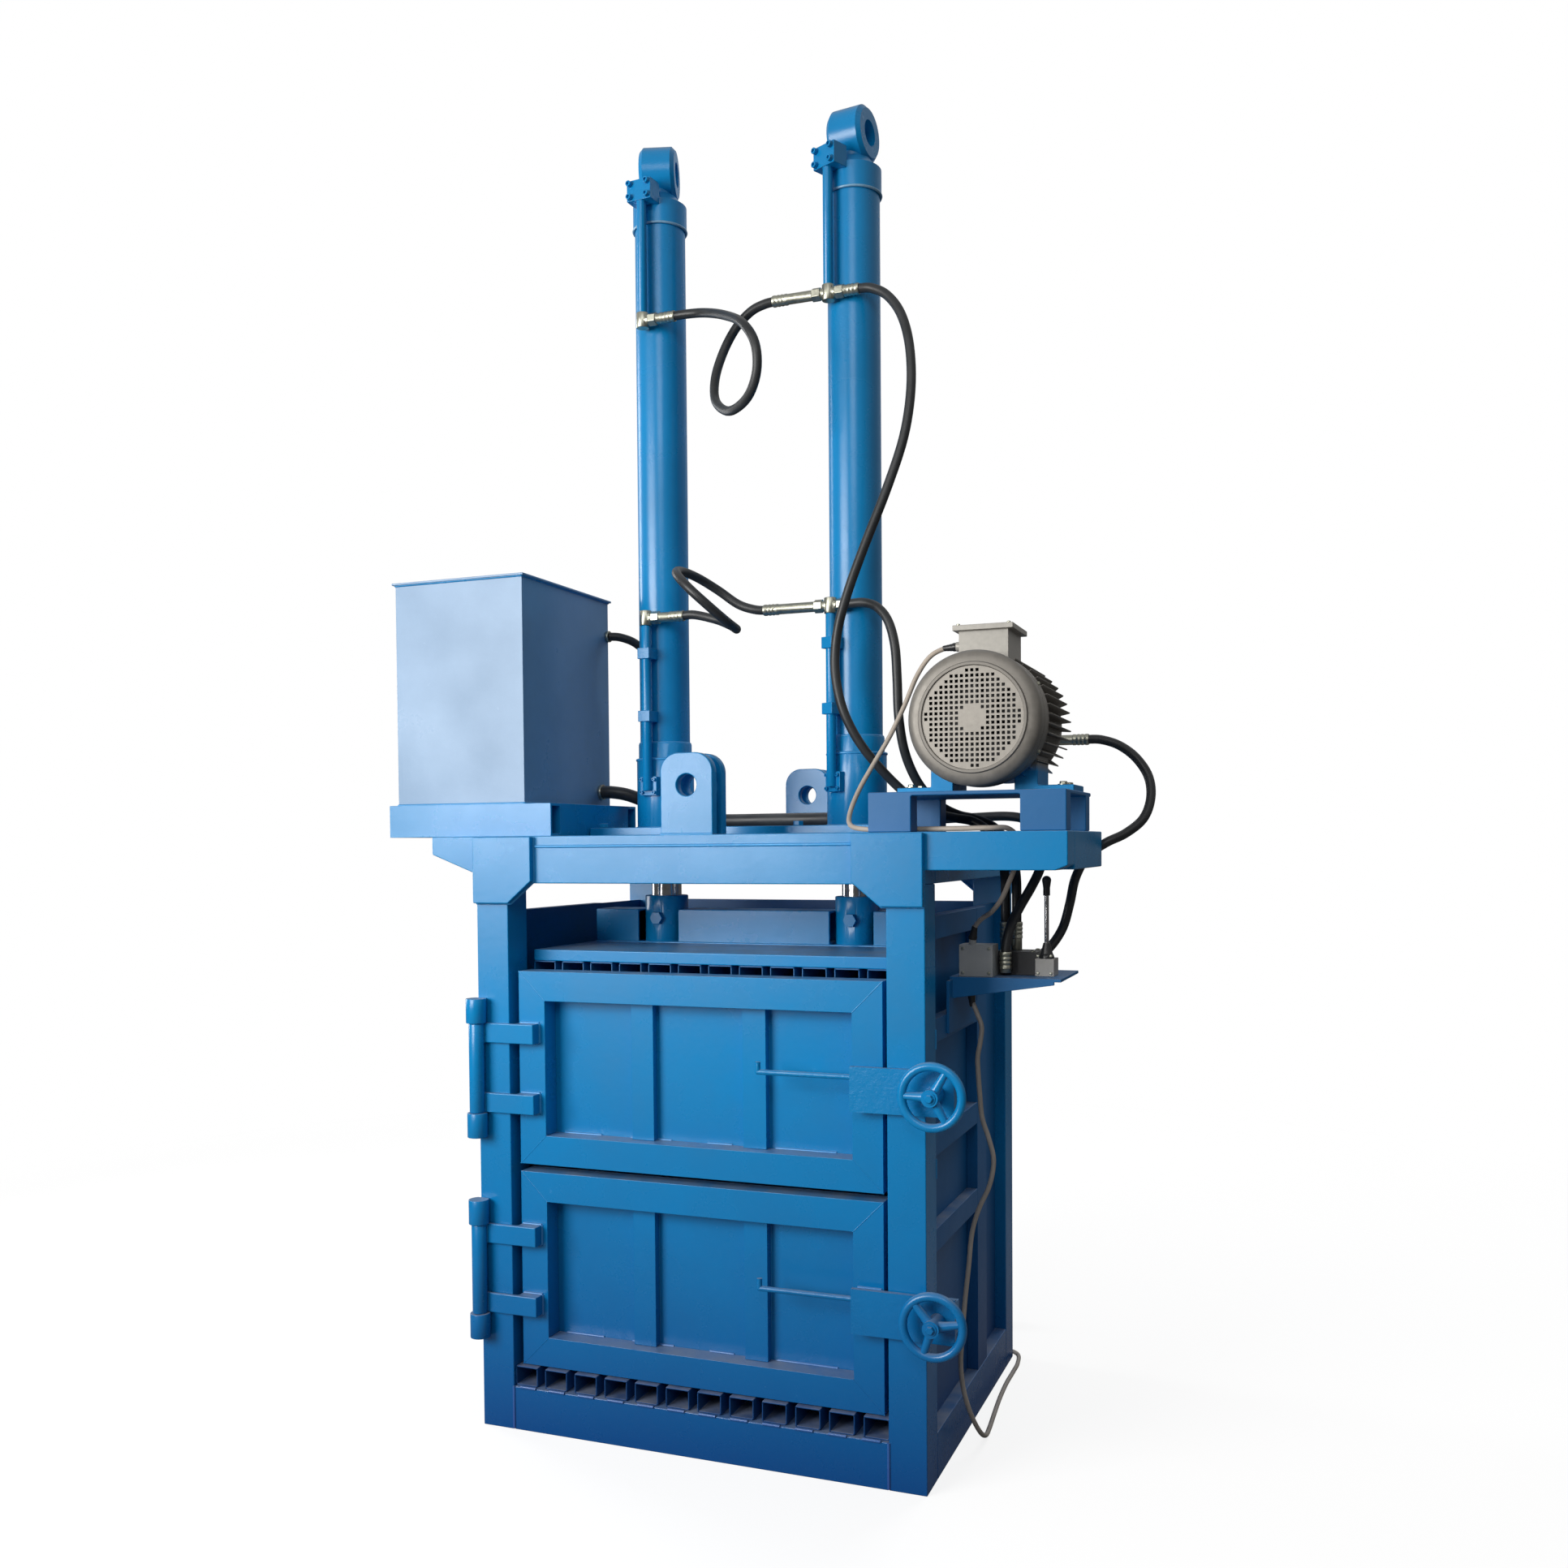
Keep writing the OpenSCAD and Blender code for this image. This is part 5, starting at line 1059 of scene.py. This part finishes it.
class PRESS_OT_stage(Operator):
    """Sets the floor, the soft light and the camera of the photograph"""

    bl_idname = "press.stage"
    bl_label = "Stage"

    def execute(self, context):
        scene = context.scene
        scene.view_settings.view_transform = "Standard"
        self.camera(scene)
        self.floor(scene)
        self.world(scene)
        for name, values in LAMPS.items():
            self.lamp(name, *values)
        bpy.data.objects["Back light"].visible_glossy = False
        return {"FINISHED"}

    @staticmethod
    def camera(scene):
        view = settings().view
        data = bpy.data.cameras.new("Camera")
        data.sensor_width = SENSOR
        data.lens = view.focal / PHOTO_SIDE * SENSOR
        data.shift_x, data.shift_y = (pixels / PHOTO_SIDE for pixels in PHOTO_SHIFT)
        data.clip_end = 100.0
        ahead = Vector((-math.sin(view.yaw) * math.cos(view.pitch), math.cos(view.yaw) * math.cos(view.pitch),
                        math.sin(view.pitch)))
        side = Vector((math.cos(view.yaw), math.sin(view.yaw), 0.0))
        up = side.cross(ahead)
        right = math.cos(view.roll) * side + math.sin(view.roll) * up
        top = -math.sin(view.roll) * side + math.cos(view.roll) * up
        made = bpy.data.objects.new("Camera", data)
        turn = Matrix((right, top, -ahead)).transposed().to_4x4()
        made.matrix_world = Matrix.Translation(view.place) @ turn
        scene.collection.objects.link(made)
        scene.camera = made

    @staticmethod
    def floor(scene):
        """Pale round floor that fades into the white background and keeps the shadow."""
        reach, fade_start, fade_end, glow_strength = 9.0, 1.6, 5.0, 0.82
        data = bpy.data.meshes.new("Floor")
        corners = [(-reach, -reach, 0), (reach, -reach, 0), (reach, reach, 0), (-reach, reach, 0)]
        data.from_pydata(corners, [], [(0, 1, 2, 3)])
        made = bpy.data.objects.new("Floor", data)
        scene.collection.objects.link(made)
        pale, tree, shader, vector = blank_material("Pale floor")
        shader.inputs["Roughness"].default_value = 0.9
        shader.inputs["Specular IOR Level"].default_value = 0.1
        shader.inputs["Base Color"].default_value = (0.22, 0.22, 0.22, 1.0)
        rays = tree.nodes.new("ShaderNodeLightPath").outputs
        seen = math_node(tree, "MAXIMUM", rays["Is Camera Ray"], rays["Is Transmission Ray"])
        strength = math_node(tree, "MULTIPLY", seen, glow_strength)
        glow = add_node(tree, "ShaderNodeEmission", {"Strength": strength})
        lit = add_node(tree, "ShaderNodeAddShader", {0: shader.outputs[0], 1: glow.outputs[0]})
        clear = tree.nodes.new("ShaderNodeBsdfTransparent")
        away = add_node(tree, "ShaderNodeVectorMath", {0: vector}, operation="LENGTH").outputs["Value"]
        joined = add_node(tree, "ShaderNodeMixShader", {
            0: map_range(tree, away, fade_start, fade_end), 1: lit.outputs[0], 2: clear.outputs[0]})
        out = next(n for n in tree.nodes if n.type == "OUTPUT_MATERIAL")
        tree.links.new(joined.outputs[0], out.inputs["Surface"])
        data.materials.append(pale)

    @staticmethod
    def world(scene):
        """White where it is seen; as light and as mirror image a grey that darkens towards the ground."""
        made = bpy.data.worlds.new("Studio")
        made.use_nodes = True
        tree = made.node_tree
        back = next(n for n in tree.nodes if n.type == "BACKGROUND")
        back.inputs["Color"].default_value = (1.0, 1.0, 1.0, 1.0)
        rays = tree.nodes.new("ShaderNodeLightPath").outputs
        seen = math_node(tree, "MAXIMUM", rays["Is Camera Ray"], rays["Is Transmission Ray"])
        height = axis_of(tree, tree.nodes.new("ShaderNodeTexCoord").outputs["Generated"], "Z")
        sky = map_range(tree, height, -0.05, 0.6, 0.06, 0.36)
        image = map_range(tree, height, -0.05, 0.5, 0.06, 0.45)
        mirrored = math_node(tree, "MULTIPLY", rays["Is Glossy Ray"], image)
        strength = math_node(tree, "MAXIMUM", seen, math_node(tree, "MAXIMUM", mirrored, sky))
        tree.links.new(strength, back.inputs["Strength"])
        scene.world = made

    @staticmethod
    def lamp(name, place, target, width, height, power, colour):
        data = bpy.data.lights.new(name, "AREA")
        data.shape = "RECTANGLE"
        data.size = width
        data.size_y = height
        data.energy = power
        data.color = colour
        made = bpy.data.objects.new(name, data)
        made.location = place
        made.rotation_euler = (Vector(target) - Vector(place)).to_track_quat("-Z", "Y").to_euler()
        bpy.context.scene.collection.objects.link(made)


class PRESS_PT_panel(Panel):
    """Lists the steps that dress the press"""

    bl_idname = "PRESS_PT_panel"
    bl_label = "Baling press"
    bl_space_type = "VIEW_3D"
    bl_region_type = "UI"
    bl_category = "Press"

    def draw(self, context):
        for step in STEPS:
            self.layout.operator(step.bl_idname)


STEPS = (PRESS_OT_stage, PRESS_OT_hoses, PRESS_OT_cables, PRESS_OT_paint, PRESS_OT_soft_edges,
         PRESS_OT_fan_cover, PRESS_OT_bolts, PRESS_OT_sleeves, PRESS_OT_welds)
CLASSES = (PressFinish, PressSizes, PressView, PressSettings, *STEPS, PRESS_PT_panel)


def register():
    for one in CLASSES:
        bpy.utils.register_class(one)
    bpy.types.Scene.press = PointerProperty(type=PressSettings)


def unregister():
    del bpy.types.Scene.press
    for one in reversed(CLASSES):
        bpy.utils.unregister_class(one)


def main():
    register()
    for step in STEPS:
        space, name = step.bl_idname.split(".")
        getattr(getattr(bpy.ops, space), name)()


if __name__ == "__main__":
    main()
